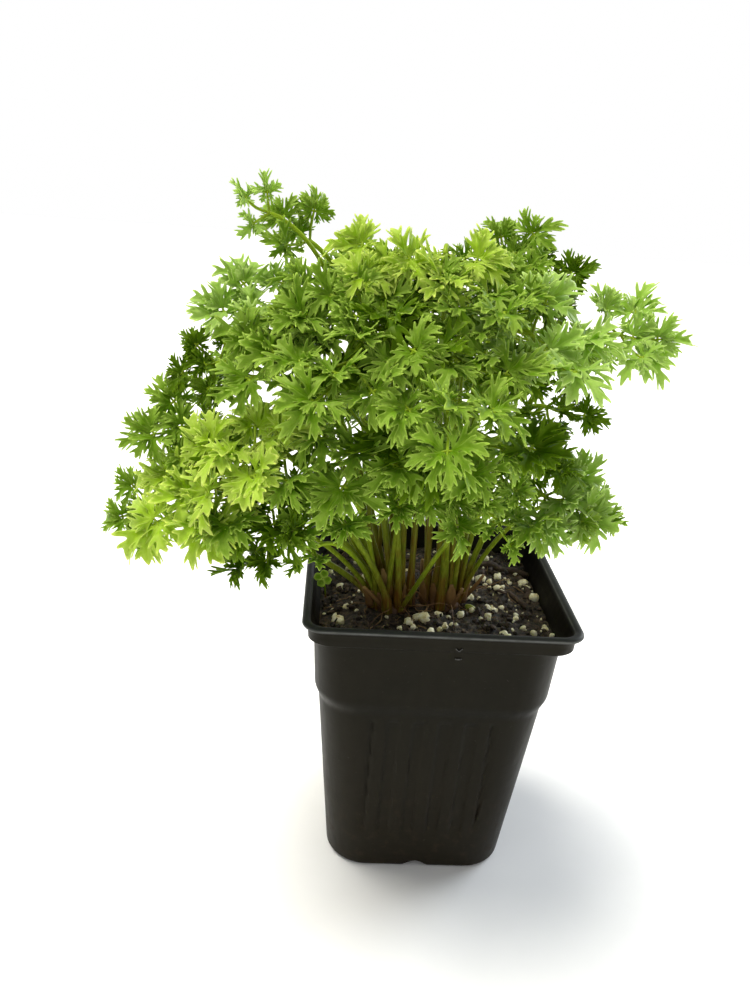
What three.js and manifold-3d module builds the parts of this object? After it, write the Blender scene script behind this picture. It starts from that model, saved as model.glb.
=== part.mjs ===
// Potted parsley: a square nursery pot filled with potting soil, holding two parsley crowns.
// Every long stem rises from one of the crowns and carries one divided leaf blade.
// Units are millimetres and +Z is up. The origin is the middle of the pot's underside,
// and the fuller side of the plant faces -Y.
import * as THREE from 'three';
import { mergeVertices } from 'three/addons/utils/BufferGeometryUtils.js';
import Module from 'manifold-3d';

const wasm = await Module();
wasm.setup();

// ---------------------------------------------------------------- driving dimensions

const GAP = 0.3; // left between neighbouring solids

const POT_HEIGHT = 127;
const WALL = 1.3;
const FLOOR = 1.6;
const LIP_HALF = 54; // half the width over the lip
const COLLAR_HALF = 51.6;
const MOUTH_HALF = 51; // half the width of the opening inside the lip
const SHOULDER_HALF = 49.7; // body just under the collar
const CREASE_TOP_HALF = 48.1;
const CREASE_BOTTOM_HALF = 46.3;
const FOOT_HALF = 39.2;
const SOLE_HALF = 37.4; // flat underside inside the rounded bottom edge

const SOLE_ROUNDING = 2.6;
const CREASE_BOTTOM = 84.5;
const CREASE_TOP = 90;
const COLLAR_BOTTOM = 118;
const COLLAR_ROUNDING = 0.6;
const LIP_BOTTOM = 124.6;
const LIP_ROUNDING = 0.9;
const LEDGE_THICKNESS = 2.4; // where the body steps out to the collar
const BODY_CORNER = 17; // corner radius of the tapered body
const COLLAR_CORNER = 8; // corner radius of the collar and lip

const FLUTES = 5; // shallow ribs on each side
const FLUTE_PITCH = 10.4;
const FLUTE_DEPTH = 0.8;
const FLUTE_BOTTOM = 21;
const FLUTE_TOP = 80;
const FLUTE_FADE = 2;
const CORNER_STEPS = 3;

const ARCH_WIDTH = 13; // drainage notch in the middle of each bottom edge
const ARCH_HEIGHT = 3.6;
const ARCH_REACH = 6; // how far the notch runs in from the body's foot
const DRAIN_RADIUS = 4.5;
const DRAIN_OFFSET = 21;
const CUT_MARGIN = 1; // cutters run this far past the wall that they cut

const SOIL_EDGE = 115; // height of the soil at the wall
const SOIL_TOP = 117.5;
const SOIL_CROWN_HALF = 30; // half the width of the level middle of the soil

const CROWN_BOTTOM = 104;
const CROWN_TOP = 121;
const CROWN_RADIUS = 10;
const CROWNS = {
  left: { x: -19, y: -14 },
  right: { x: 3, y: -9 },
};

const STEM_SIDES = 6;
const STEM_STEPS = 8;
const STEM_FOOT_RADIUS = 1.8;
const STEM_TOP_RADIUS = 1;
const STEM_SLOTS = 16; // places for stems on each crown
const SLOT_SPREAD = 2.35; // sets how far apart the places are
const STEM_RISE = 0.42; // how upright a stem starts, as a share of its whole rise
const STEM_RISE_LEAST = 14;
const STEM_LEAN = 0.12; // sideways lean of its lower third
const STEM_BOW = 0.1; // how far it bows back before the leaf
const STEM_ALIGN = 0.2; // how long it runs along the leaf's midline

const PLANT_AXIS = { x: -10, y: -12 }; // leaf bearings and reaches are measured from here
const BLADE_THICKNESS = 0.9;
const BLADE_SAG = 0.12; // drop of the blade one leaflet length out from its hub, as a share of it
const BLADE_REACH = 1.22; // reach of the side wedges, in leaflet lengths
const BLADE_BACK_LOSS = 0.7; // how much shorter the rear wedges are
const BLADE_STRETCH = { 1: 0.05, 2: 0.7 }; // extra forward reach, by pairs of side leaflets
const FAN_HALF_ANGLE = 140; // degrees between a blade's midline and its rearmost wedge
const WEDGES_PER_SIDE = 5;
const TIP_SHARE = 0.5; // how blunt the wedges are
const NOTCH_DEPTH = 0.45; // where the notches end, as a share of the blade's reach

// ---------------------------------------------------------------- the leaves, one per stem

// crown, bearing (degrees from +X), reach, height, leaflet length, pairs of side leaflets,
// pitch (degrees, up is positive), roll (degrees about the midline), tone
const LEAVES = [
  ['left', 176, 48, 260, 17, 1, 35, -50, 'pale'],
  ['left', -135, 24, 260, 20, 1, -30, -20, 'yellow'],
  ['right', -95, 20, 261, 21, 1, -40, 0, 'yellow'],
  ['right', -10, 22, 258, 17, 1, 50, 60, 'mid'],
  ['right', 5, 36, 249, 17, 1, 20, 55, 'dark'],
  ['right', 2, 70, 234, 20, 1, -5, 45, 'pale'],
  ['right', -52, 46, 238, 24, 1, -30, 15, 'pale'],
  ['right', -72, 32, 250, 22, 1, -20, 0, 'mid'],
  ['left', -140, 44, 247, 23, 1, -15, -20, 'mid'],
  ['left', -168, 62, 238, 20, 1, -12, -30, 'pale'],
  ['right', -92, 48, 234, 26, 2, -40, 0, 'mid'],
  ['left', -122, 47, 239, 26, 2, -35, -10, 'mid'],
  ['left', -146, 62, 229, 24, 1, -30, -20, 'mid'],
  ['left', -172, 80, 217, 15, 1, -20, -50, 'dark'],
  ['left', -168, 86, 196, 22, 1, -20, -45, 'yellow'],
  ['right', -14, 44, 208, 16, 1, -10, 50, 'dark'],
  ['left', -156, 86, 178, 24, 1, -30, -30, 'yellow'],
  ['left', 178, 106, 153, 18, 1, -20, -60, 'mid'],
  ['left', -146, 76, 196, 24, 1, -40, -10, 'yellow'],
  ['left', -148, 68, 176, 20, 1, -45, -20, 'dark'],
  ['left', -118, 54, 204, 25, 1, -40, -10, 'mid'],
  ['right', 78, 66, 194, 24, 1, -40, 0, 'dark'],
  ['right', -84, 50, 210, 24, 1, -40, 0, 'mid'],
  ['right', -30, 50, 178, 22, 1, -15, 35, 'pale'],
  ['left', 152, 70, 212, 24, 2, -30, 0, 'mid'],
  ['right', 106, 48, 240, 25, 2, -25, 0, 'mid'],
  ['right', 50, 52, 228, 25, 2, -30, 0, 'mid'],
  ['left', 124, 74, 178, 24, 2, -35, 0, 'dark'],
].map(([crown, bearing, reach, height, length, pairs, pitch, roll, tone]) => ({
  crown, bearing, reach, height, length, pairs, pitch, roll, tone,
}));

// ---------------------------------------------------------------- colours and finishes

const finish = (color, roughness) => new THREE.MeshStandardMaterial({ color, roughness, metalness: 0 });

const POT_PLASTIC = finish(0x1c1b17, 0.5);
const SOIL = finish(0x2b211a, 0.95);
const CROWN = finish(0x7a5a2c, 0.8);
const STEM = finish(0x6f8a1f, 0.55);
const LEAF_TONES = {
  pale: finish(0x8fbf4d, 0.6),
  yellow: finish(0xa9c93f, 0.6),
  mid: finish(0x5f9a1e, 0.6),
  dark: finish(0x37700f, 0.6),
};

const radians = THREE.MathUtils.degToRad;

// ---------------------------------------------------------------- joining and cutting

function toSolid(geometry) {
  const bare = geometry.clone();
  bare.deleteAttribute('normal');
  bare.deleteAttribute('uv');
  const merged = mergeVertices(bare);
  return new wasm.Manifold(new wasm.Mesh({
    numProp: 3,
    vertProperties: new Float32Array(merged.attributes.position.array),
    triVerts: new Uint32Array(merged.index.array),
  }));
}

function toGeometry(solid) {
  const mesh = solid.getMesh();
  const geometry = new THREE.BufferGeometry();
  geometry.setAttribute('position', new THREE.BufferAttribute(mesh.vertProperties, 3));
  geometry.setIndex(new THREE.BufferAttribute(mesh.triVerts, 1));
  geometry.computeVertexNormals();
  return geometry;
}

const joined = (solids) => solids.reduce((whole, solid) => whole.add(solid));

// A cut can leave crumbs beside the main body, so only the biggest piece is kept.
function biggestPiece(solid) {
  const pieces = solid.decompose();
  return pieces.reduce((best, piece) => (piece.volume() > best.volume() ? piece : best));
}

// ---------------------------------------------------------------- lofted shapes

// Joins rings of equal length into one closed skin, with a flat fan over each end ring.
function loft(rings) {
  const count = rings[0].length;
  const middle = (ring) => ring
    .reduce((sum, point) => sum.add(point), new THREE.Vector3())
    .divideScalar(count);
  const points = [...rings.flat(), middle(rings[0]), middle(rings.at(-1))];
  const startMiddle = points.length - 2;
  const endMiddle = points.length - 1;
  const endRing = (rings.length - 1) * count;
  const index = [];
  for (let i = 0; i < count; i += 1) {
    const next = (i + 1) % count;
    for (let ring = 0; ring < rings.length - 1; ring += 1) {
      const low = ring * count;
      const high = low + count;
      index.push(low + i, low + next, high + next);
      index.push(low + i, high + next, high + i);
    }
    index.push(startMiddle, next, i);
    index.push(endMiddle, endRing + i, endRing + next);
  }
  const geometry = new THREE.BufferGeometry().setFromPoints(points);
  geometry.setIndex(index);
  geometry.computeVertexNormals();
  return geometry;
}

// A closed tube along a curve, whose radius runs evenly from one end to the other.
function taperedTube(curve, steps, sides, startRadius, endRadius) {
  const frames = curve.computeFrenetFrames(steps, false);
  const rings = [];
  for (let step = 0; step <= steps; step += 1) {
    const along = step / steps;
    const centre = curve.getPointAt(along);
    const radius = THREE.MathUtils.lerp(startRadius, endRadius, along);
    const ring = [];
    for (let side = 0; side < sides; side += 1) {
      const angle = (side / sides) * 2 * Math.PI;
      ring.push(centre.clone()
        .addScaledVector(frames.normals[step], radius * Math.cos(angle))
        .addScaledVector(frames.binormals[step], radius * Math.sin(angle)));
    }
    rings.push(ring);
  }
  return loft(rings);
}

// ---------------------------------------------------------------- pot

// One level of the pot: a square with rounded corners, whose sides can carry shallow ribs.
function squareRing(z, half, corner, ribDepth = 0) {
  const ring = [];
  const flat = half - corner;
  for (let side = 0; side < 4; side += 1) {
    const turn = (side * Math.PI) / 2;
    const place = (out, along) => ring.push(new THREE.Vector3(
      out * Math.cos(turn) - along * Math.sin(turn),
      out * Math.sin(turn) + along * Math.cos(turn),
      z,
    ));
    for (let edge = -FLUTES; edge <= FLUTES; edge += 1) {
      const valley = (edge + FLUTES) % 2 === 0;
      const along = Math.min(Math.max((edge * FLUTE_PITCH) / 2, -flat), flat);
      place(half - (valley ? ribDepth : 0), along);
    }
    for (let step = 1; step < CORNER_STEPS; step += 1) {
      const angle = (step / CORNER_STEPS) * (Math.PI / 2);
      place(flat + corner * Math.cos(angle), flat + corner * Math.sin(angle));
    }
  }
  return ring;
}

// Half the width of the pot's outside at a height on the body, between foot and shoulder.
function bodyHalf(z) {
  const level = [SOLE_ROUNDING, CREASE_BOTTOM, CREASE_TOP, COLLAR_BOTTOM];
  const half = [FOOT_HALF, CREASE_BOTTOM_HALF, CREASE_TOP_HALF, SHOULDER_HALF];
  const band = z < CREASE_BOTTOM ? 0 : (z < CREASE_TOP ? 1 : 2);
  return THREE.MathUtils.mapLinear(z, level[band], level[band + 1], half[band], half[band + 1]);
}

// The skin runs up the outside, over the lip and down the inside to the floor.
function potShell() {
  const outside = (z, ribDepth) => squareRing(z, bodyHalf(z), BODY_CORNER, ribDepth);
  const inside = (z) => squareRing(z, bodyHalf(z) - WALL - FLUTE_DEPTH, BODY_CORNER - WALL);
  return loft([
    squareRing(0, SOLE_HALF, BODY_CORNER),
    outside(SOLE_ROUNDING),
    outside(FLUTE_BOTTOM),
    outside(FLUTE_BOTTOM + FLUTE_FADE, FLUTE_DEPTH),
    outside(FLUTE_TOP, FLUTE_DEPTH),
    outside(CREASE_BOTTOM),
    outside(CREASE_TOP),
    outside(COLLAR_BOTTOM),
    squareRing(COLLAR_BOTTOM + COLLAR_ROUNDING, COLLAR_HALF, COLLAR_CORNER),
    squareRing(LIP_BOTTOM, COLLAR_HALF, COLLAR_CORNER),
    squareRing(LIP_BOTTOM + LIP_ROUNDING, LIP_HALF, COLLAR_CORNER),
    squareRing(POT_HEIGHT, LIP_HALF, COLLAR_CORNER),
    squareRing(POT_HEIGHT, MOUTH_HALF, COLLAR_CORNER - WALL),
    squareRing(COLLAR_BOTTOM + LEDGE_THICKNESS, COLLAR_HALF - WALL, COLLAR_CORNER - WALL),
    inside(COLLAR_BOTTOM),
    inside(CREASE_TOP),
    inside(CREASE_BOTTOM),
    inside(FLOOR + SOLE_ROUNDING),
    squareRing(FLOOR, SOLE_HALF - WALL, BODY_CORNER - WALL),
  ]);
}

// A pointed arch across the wall, laid on its side so that it cuts in from the bottom edge.
function archCutter(turn) {
  const side = ARCH_WIDTH / 2;
  const shoulder = ARCH_HEIGHT * 0.9;
  const arch = new THREE.Shape();
  arch.moveTo(-side, -CUT_MARGIN);
  arch.lineTo(side, -CUT_MARGIN);
  arch.lineTo(side, 0);
  arch.quadraticCurveTo(side / 2, shoulder, 0, ARCH_HEIGHT);
  arch.quadraticCurveTo(-side / 2, shoulder, -side, 0);
  arch.closePath();
  const cutter = new THREE.ExtrudeGeometry(arch, {
    depth: ARCH_REACH + CUT_MARGIN, bevelEnabled: false, curveSegments: 3,
  });
  cutter.rotateX(Math.PI / 2);
  cutter.translate(0, -FOOT_HALF + ARCH_REACH, 0);
  cutter.rotateZ(turn);
  return toSolid(cutter);
}

function drainCutter(x, y) {
  const cutter = new THREE.CylinderGeometry(DRAIN_RADIUS, DRAIN_RADIUS, FLOOR + 2 * CUT_MARGIN, 12);
  cutter.rotateX(Math.PI / 2);
  cutter.translate(x, y, FLOOR / 2);
  return toSolid(cutter);
}

function nurseryPot() {
  const cutters = [];
  for (let side = 0; side < 4; side += 1) {
    cutters.push(archCutter((side * Math.PI) / 2));
  }
  for (const x of [-DRAIN_OFFSET, DRAIN_OFFSET]) {
    for (const y of [-DRAIN_OFFSET, DRAIN_OFFSET]) {
      cutters.push(drainCutter(x, y));
    }
  }
  return toGeometry(toSolid(potShell()).subtract(joined(cutters)));
}

// ---------------------------------------------------------------- soil and crowns

// A stubby root crown: narrow below the soil, swollen at the surface, domed on top.
function crownGeometry(place, grow = 0) {
  const profile = [
    new THREE.Vector2(0, CROWN_BOTTOM - grow),
    new THREE.Vector2(CROWN_RADIUS * 0.5 + grow, CROWN_BOTTOM - grow),
    new THREE.Vector2(CROWN_RADIUS * 0.8 + grow, (CROWN_BOTTOM + CROWN_TOP) / 2),
    new THREE.Vector2(CROWN_RADIUS + grow, CROWN_TOP - 2.5),
    new THREE.Vector2(CROWN_RADIUS * 0.9 + grow, CROWN_TOP - 0.4 + grow),
    new THREE.Vector2(0, CROWN_TOP + grow),
  ];
  const geometry = new THREE.LatheGeometry(profile, 12);
  geometry.rotateX(Math.PI / 2);
  geometry.translate(place.x, place.y, 0);
  return geometry;
}

// The soil fills the pot to just below the collar and rises a little in the middle.
function pottingSoil() {
  const corner = BODY_CORNER - WALL - GAP;
  const level = (z, half) => squareRing(z, half, corner);
  const alongWall = (z) => level(z, bodyHalf(z) - WALL - FLUTE_DEPTH - GAP);
  const body = toSolid(loft([
    level(FLOOR + GAP, SOLE_HALF - WALL - 2 * GAP),
    alongWall(FLOOR + SOLE_ROUNDING + GAP),
    alongWall(CREASE_BOTTOM),
    alongWall(CREASE_TOP),
    alongWall(SOIL_EDGE),
    level(SOIL_TOP, SOIL_CROWN_HALF),
  ]));
  const crowns = Object.values(CROWNS).map((place) => toSolid(crownGeometry(place, GAP)));
  return toGeometry(body.subtract(joined(crowns)));
}

// ---------------------------------------------------------------- stems

// Places on a crown's top, in a sunflower pattern so that no two stems touch.
function stemSlots(place) {
  const goldenAngle = Math.PI * (3 - Math.sqrt(5));
  const slots = [];
  for (let k = 0; k < STEM_SLOTS; k += 1) {
    const radius = SLOT_SPREAD * Math.sqrt(k + 0.4);
    slots.push({
      x: place.x + radius * Math.cos(k * goldenAngle),
      y: place.y + radius * Math.sin(k * goldenAngle),
    });
  }
  return slots;
}

// The stems that lean most take the outermost free place on the side that they lean to.
function plantStems() {
  for (const [name, place] of Object.entries(CROWNS)) {
    const free = stemSlots(place);
    const lean = (leaf) => leaf.reach / (leaf.height - CROWN_TOP);
    const leaves = LEAVES.filter((leaf) => leaf.crown === name).sort((a, b) => lean(b) - lean(a));
    for (const leaf of leaves) {
      const bearing = radians(leaf.bearing);
      const outness = (slot) => (slot.x - place.x) * Math.cos(bearing)
        + (slot.y - place.y) * Math.sin(bearing);
      free.sort((a, b) => outness(b) - outness(a));
      const slot = free.shift();
      leaf.foot = new THREE.Vector3(slot.x, slot.y, CROWN_TOP + 2 * GAP);
    }
  }
}

// A leaf's hub is where its stem ends and its leaflets branch.
// forward runs along the leaf's midline and normal stands on its upper face.
function leafFrame(leaf) {
  const bearing = radians(leaf.bearing);
  const pitch = radians(leaf.pitch);
  const hub = new THREE.Vector3(
    PLANT_AXIS.x + leaf.reach * Math.cos(bearing),
    PLANT_AXIS.y + leaf.reach * Math.sin(bearing),
    leaf.height,
  );
  const outward = new THREE.Vector3(Math.cos(bearing), Math.sin(bearing), 0);
  const up = new THREE.Vector3(0, 0, 1);
  const forward = outward.clone().multiplyScalar(Math.cos(pitch)).addScaledVector(up, Math.sin(pitch));
  const normal = up.clone().multiplyScalar(Math.cos(pitch)).addScaledVector(outward, -Math.sin(pitch));
  normal.applyAxisAngle(forward, radians(leaf.roll));
  return { hub, forward, normal };
}

// A stem starts nearly upright, then leans out and meets the leaf along its midline.
function stemCurve(leaf) {
  const { hub, forward } = leafFrame(leaf);
  const span = hub.clone().sub(leaf.foot);
  const sideways = new THREE.Vector3(span.x, span.y, 0);
  const rise = new THREE.Vector3(0, 0, Math.max(STEM_RISE * span.z, STEM_RISE_LEAST));
  const start = leaf.foot.clone().add(rise).addScaledVector(sideways, STEM_LEAN);
  const end = hub.clone()
    .addScaledVector(forward, -STEM_ALIGN * span.length())
    .addScaledVector(sideways, -STEM_BOW);
  return new THREE.CubicBezierCurve3(leaf.foot, start, end, hub);
}

function stemGeometry(leaf, grow = 0) {
  return taperedTube(
    stemCurve(leaf), STEM_STEPS, STEM_SIDES, STEM_FOOT_RADIUS + grow, STEM_TOP_RADIUS + grow,
  );
}

// ---------------------------------------------------------------- leaf blades

// How far a blade's wedge reaches from the hub, by its angle from the midline.
// A leaf with a second pair of leaflets is drawn out along its midline.
function wedgeReach(leaf, angle) {
  const ahead = Math.max(0, Math.cos(angle)) ** 2;
  const behind = Math.max(0, -Math.cos(angle));
  return leaf.length * (BLADE_REACH + BLADE_STRETCH[leaf.pairs] * ahead - BLADE_BACK_LOSS * behind);
}

// A blade's outline is a fan of blunt wedges round the hub with deep notches between them.
function bladeShape(leaf, grow) {
  const outline = [new THREE.Vector2(0, -STEM_TOP_RADIUS - grow)];
  const polar = (angle, reach) => outline.push(
    new THREE.Vector2(-reach * Math.sin(angle), reach * Math.cos(angle)),
  );
  for (let wedge = -WEDGES_PER_SIDE; wedge <= WEDGES_PER_SIDE; wedge += 1) {
    const angle = (wedge / WEDGES_PER_SIDE) * radians(FAN_HALF_ANGLE);
    const halfPitch = radians(FAN_HALF_ANGLE) / WEDGES_PER_SIDE / 2;
    const reach = wedgeReach(leaf, angle) + grow;
    polar(angle - halfPitch * TIP_SHARE, reach);
    polar(angle + halfPitch * TIP_SHARE, reach);
    if (wedge < WEDGES_PER_SIDE) {
      polar(angle + halfPitch, NOTCH_DEPTH * wedgeReach(leaf, angle + halfPitch) + grow);
    }
  }
  return new THREE.Shape(outline);
}

// The blade is a thin plate that hangs down a little all round its hub.
function bladeSolid(leaf, grow = 0) {
  const { hub, forward, normal } = leafFrame(leaf);
  const thickness = BLADE_THICKNESS + 2 * grow;
  const geometry = new THREE.ExtrudeGeometry(bladeShape(leaf, grow), {
    depth: thickness, bevelEnabled: false,
  });
  const { position } = geometry.attributes;
  for (let i = 0; i < position.count; i += 1) {
    const reach = Math.hypot(position.getX(i), position.getY(i)) / leaf.length;
    const sag = BLADE_SAG * leaf.length * reach * reach;
    position.setZ(i, position.getZ(i) - thickness / 2 - sag);
  }
  const across = forward.clone().cross(normal);
  geometry.applyMatrix4(new THREE.Matrix4().makeBasis(across, forward, normal).setPosition(hub));
  return toSolid(geometry);
}

// ---------------------------------------------------------------- assembly

const group = new THREE.Group();

function addMesh(name, geometry, material) {
  const mesh = new THREE.Mesh(geometry, material);
  mesh.name = name;
  group.add(mesh);
}

plantStems();
addMesh('nursery_pot', nurseryPot(), POT_PLASTIC);
addMesh('potting_soil', pottingSoil(), SOIL);
for (const [name, place] of Object.entries(CROWNS)) {
  addMesh(`crown_${name}`, toGeometry(toSolid(crownGeometry(place))), CROWN);
}

// Blades give way to every stem and to the blades placed before them.
let taken = joined(LEAVES.map((leaf) => toSolid(stemGeometry(leaf, GAP))));
LEAVES.forEach((leaf, i) => {
  const number = String(i + 1).padStart(2, '0');
  addMesh(`stem_${number}`, stemGeometry(leaf), STEM);
  const blade = biggestPiece(bladeSolid(leaf).subtract(taken));
  addMesh(`leaf_${number}`, toGeometry(blade), LEAF_TONES[leaf.tone]);
  taken = taken.add(bladeSolid(leaf, GAP));
});

export default group;
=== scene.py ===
import math
import random

import bmesh
import bpy
import numpy as np
from mathutils import Matrix, Quaternion, Vector, noise


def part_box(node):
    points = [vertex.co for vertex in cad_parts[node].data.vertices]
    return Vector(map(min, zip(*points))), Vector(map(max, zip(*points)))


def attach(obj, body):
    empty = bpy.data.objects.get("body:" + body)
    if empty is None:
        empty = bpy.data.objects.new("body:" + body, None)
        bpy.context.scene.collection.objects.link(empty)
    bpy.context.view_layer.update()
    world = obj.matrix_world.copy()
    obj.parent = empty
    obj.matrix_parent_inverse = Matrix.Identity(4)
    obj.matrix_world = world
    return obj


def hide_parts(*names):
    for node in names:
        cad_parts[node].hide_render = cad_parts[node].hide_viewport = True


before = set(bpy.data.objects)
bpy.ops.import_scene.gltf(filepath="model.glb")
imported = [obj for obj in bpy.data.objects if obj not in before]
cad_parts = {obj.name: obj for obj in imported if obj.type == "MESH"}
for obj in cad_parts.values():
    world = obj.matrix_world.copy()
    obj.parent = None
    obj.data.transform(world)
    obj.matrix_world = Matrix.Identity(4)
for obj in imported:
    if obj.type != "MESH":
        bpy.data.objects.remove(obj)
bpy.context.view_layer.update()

MM = 0.001  # shapes are built in millimetres; the camera, lights and materials are in metres
BODY = "root"
GOLDEN_ANGLE = math.pi * (3 - math.sqrt(5))
FULL_TURN = 2 * math.pi
ANY_TURN = 6.3  # radians, about a full turn, for random directions
BLADE, STALK = 0, 1  # material numbers of a leaf piece
SEEDS = {
    "crown": 40, "stem": 100, "leaf": 200, "lower_pair": 300, "small_leaf": 400, "bark": 5,
    "crumbs": 11, "perlite": 23, "sheaths": 61, "dry_bits": 67, "fibres": 71, "twigs": 73, "seedling": 79,
}


def smoothstep(low, high, value):
    """0 below low, 1 above high, and an even S between them."""
    share = min(max((value - low) / (high - low), 0.0), 1.0)
    return share * share * (3 - 2 * share)


def lerp(start, end, share):
    return start + (end - start) * share


def add_object(name, data):
    made = bpy.data.objects.new(name, data)
    bpy.context.scene.collection.objects.link(made)
    return made


# -------- camera

CAMERA_PLACE = (-0.0474, -0.3263, 0.2892)
CAMERA_YAW, CAMERA_PITCH, CAMERA_ROLL = 3.56, 21.87, 4.33  # degrees
CAMERA_LENS, CAMERA_SENSOR = 30.6, 36
CAMERA_NEAREST = 0.01


def make_camera():
    yaw, pitch, roll = (math.radians(a) for a in (CAMERA_YAW, CAMERA_PITCH, CAMERA_ROLL))
    ahead = math.cos(pitch)
    forward = Vector((math.sin(yaw) * ahead, math.cos(yaw) * ahead, -math.sin(pitch)))
    level = Vector((math.cos(yaw), -math.sin(yaw), 0))
    upward = level.cross(forward)
    right = level * math.cos(roll) + upward * math.sin(roll)
    top = upward * math.cos(roll) - level * math.sin(roll)
    data = bpy.data.cameras.new("camera")
    data.lens = CAMERA_LENS
    data.sensor_width = CAMERA_SENSOR
    data.clip_start = CAMERA_NEAREST
    camera = add_object("camera", data)
    turn = Matrix((right, top, -forward)).transposed().to_4x4()
    camera.matrix_world = Matrix.Translation(CAMERA_PLACE) @ turn
    bpy.context.scene.camera = camera


make_camera()

# -------- light

WHITE_UP_TO, GREY_FROM = 0.27, 0.45  # heights on a sphere round the object, from 0 level to 1 overhead
OVERHEAD_GREY = 0.4


def add_light(name, kind, place, toward, color, **settings):
    data = bpy.data.lights.new(name, kind)
    data.color = color
    for key, value in settings.items():
        setattr(data, key, value)
    light = add_object(name, data)
    light.location = place
    light.rotation_euler = Vector(toward).to_track_quat("-Z", "Y").to_euler()


def make_world():
    """A white band at the height of the horizon, and a softer grey overhead."""
    world = bpy.data.worlds.new("studio")
    world.use_nodes = True
    tree = world.node_tree
    place = tree.nodes.new("ShaderNodeTexCoord")
    split = tree.nodes.new("ShaderNodeSeparateXYZ")
    ramp = tree.nodes.new("ShaderNodeValToRGB")
    stops = ((WHITE_UP_TO, 1.0), (GREY_FROM, OVERHEAD_GREY))
    for element, (height, grey) in zip(ramp.color_ramp.elements, stops):
        element.position = height
        element.color = (grey, grey, grey, 1)
    tree.links.new(place.outputs["Generated"], split.inputs["Vector"])
    tree.links.new(split.outputs["Z"], ramp.inputs["Fac"])
    tree.links.new(ramp.outputs["Color"], tree.nodes["Background"].inputs["Color"])
    bpy.context.scene.world = world


def make_studio():
    bpy.context.scene.view_settings.view_transform = "Standard"
    make_world()
    add_light(
        "key", "SUN", place=(0, 0, 0), toward=(0.36, -0.14, -1.0), color=(1.0, 0.97, 0.88),
        energy=4.7, angle=math.radians(36),
    )
    add_light(
        "rim", "AREA", place=(0.8, 0.5, 0.5), toward=(-0.8, -0.5, -0.38), color=(0.85, 0.93, 1.0),
        energy=8, shape="DISK", size=0.6,
    )


make_studio()

# -------- material building


class Nodes:
    """A short way to write a material's nodes."""

    def __init__(self, name):
        self.material = bpy.data.materials.new(name)
        self.material.use_nodes = True
        self.tree = self.material.node_tree
        self.tree.nodes.clear()
        self.out = self.tree.nodes.new("ShaderNodeOutputMaterial")

    def put(self, socket, value):
        if isinstance(value, bpy.types.NodeSocket):
            self.tree.links.new(value, socket)
        else:
            socket.default_value = value

    def node(self, kind, inputs=None, **settings):
        made = self.tree.nodes.new("ShaderNode" + kind)
        for key, value in settings.items():
            setattr(made, key, value)
        for key, value in (inputs or {}).items():
            self.put(made.inputs[key], value)
        return made

    def coords(self, scale=(1, 1, 1)):
        place = self.node("TexCoord").outputs["Object"]
        return self.node("Mapping", {"Vector": place, "Scale": scale}).outputs["Vector"]

    def noise(self, size_mm, detail=4, rough=0.55, stretch=(1, 1, 1)):
        """Noise whose lumps are about size_mm across."""
        vector = self.coords(stretch)
        inputs = {"Vector": vector, "Scale": 1 / (size_mm * MM), "Detail": detail, "Roughness": rough}
        return self.node("TexNoise", inputs).outputs["Fac"]

    def ramp(self, fac, stops):
        made = self.node("ValToRGB", {"Fac": fac})
        elements = made.color_ramp.elements
        while len(elements) < len(stops):
            elements.new(0.5)
        for element, (place, color) in zip(elements, stops):
            element.position = place
            element.color = (*color, 1)
        return made.outputs["Color"]

    def remap(self, value, low, high, to_low, to_high):
        inputs = {"Value": value, "From Min": low, "From Max": high, "To Min": to_low, "To Max": to_high}
        return self.node("MapRange", inputs).outputs["Result"]

    def math(self, operation, a, b=0.0):
        made = self.node("Math", operation=operation)
        self.put(made.inputs[0], a)
        self.put(made.inputs[1], b)
        return made.outputs["Value"]

    def mix(self, fac, a, b, blend="MIX"):
        made = self.node("Mix", data_type="RGBA", blend_type=blend)
        self.put(made.inputs["Factor"], fac)
        for key, value in ((6, a), (7, b)):
            plain = isinstance(value, tuple)
            self.put(made.inputs[key], (*value, 1) if plain else value)
        return made.outputs[2]

    def attribute(self, name):
        return self.node("Attribute", attribute_name=name).outputs["Fac"]

    def bump(self, height, strength, distance_mm, normal=None):
        inputs = {"Height": height, "Strength": strength, "Distance": distance_mm * MM}
        if normal is not None:
            inputs["Normal"] = normal
        return self.node("Bump", inputs).outputs["Normal"]

    def surface(self, inputs):
        return self.node("BsdfPrincipled", inputs).outputs["BSDF"]

    def finish(self, shader):
        self.tree.links.new(shader, self.out.inputs["Surface"])
        return self.material


def floor_material():
    n = Nodes("floor")
    color = n.ramp(n.noise(60), [(0.3, (0.86, 0.86, 0.86)), (0.7, (0.9, 0.9, 0.9))])
    return n.finish(n.surface({"Base Color": color, "Roughness": 0.8}))


DUSTY_UP_TO, GREY_UP_TO = 0.05, 0.09
# Heights where the lip's paler band, a painted highlight, starts and is whole.
LIP_HIGHLIGHT_FROM, LIP_HIGHLIGHT_FULL = 0.1245, 0.1262
LIP_EDGE_HIGHLIGHT = (0.1254, 0.1259, 0.1261, 0.1266)  # heights where the painted highlight on the lip's outer edge starts, is whole, and ends again


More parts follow.
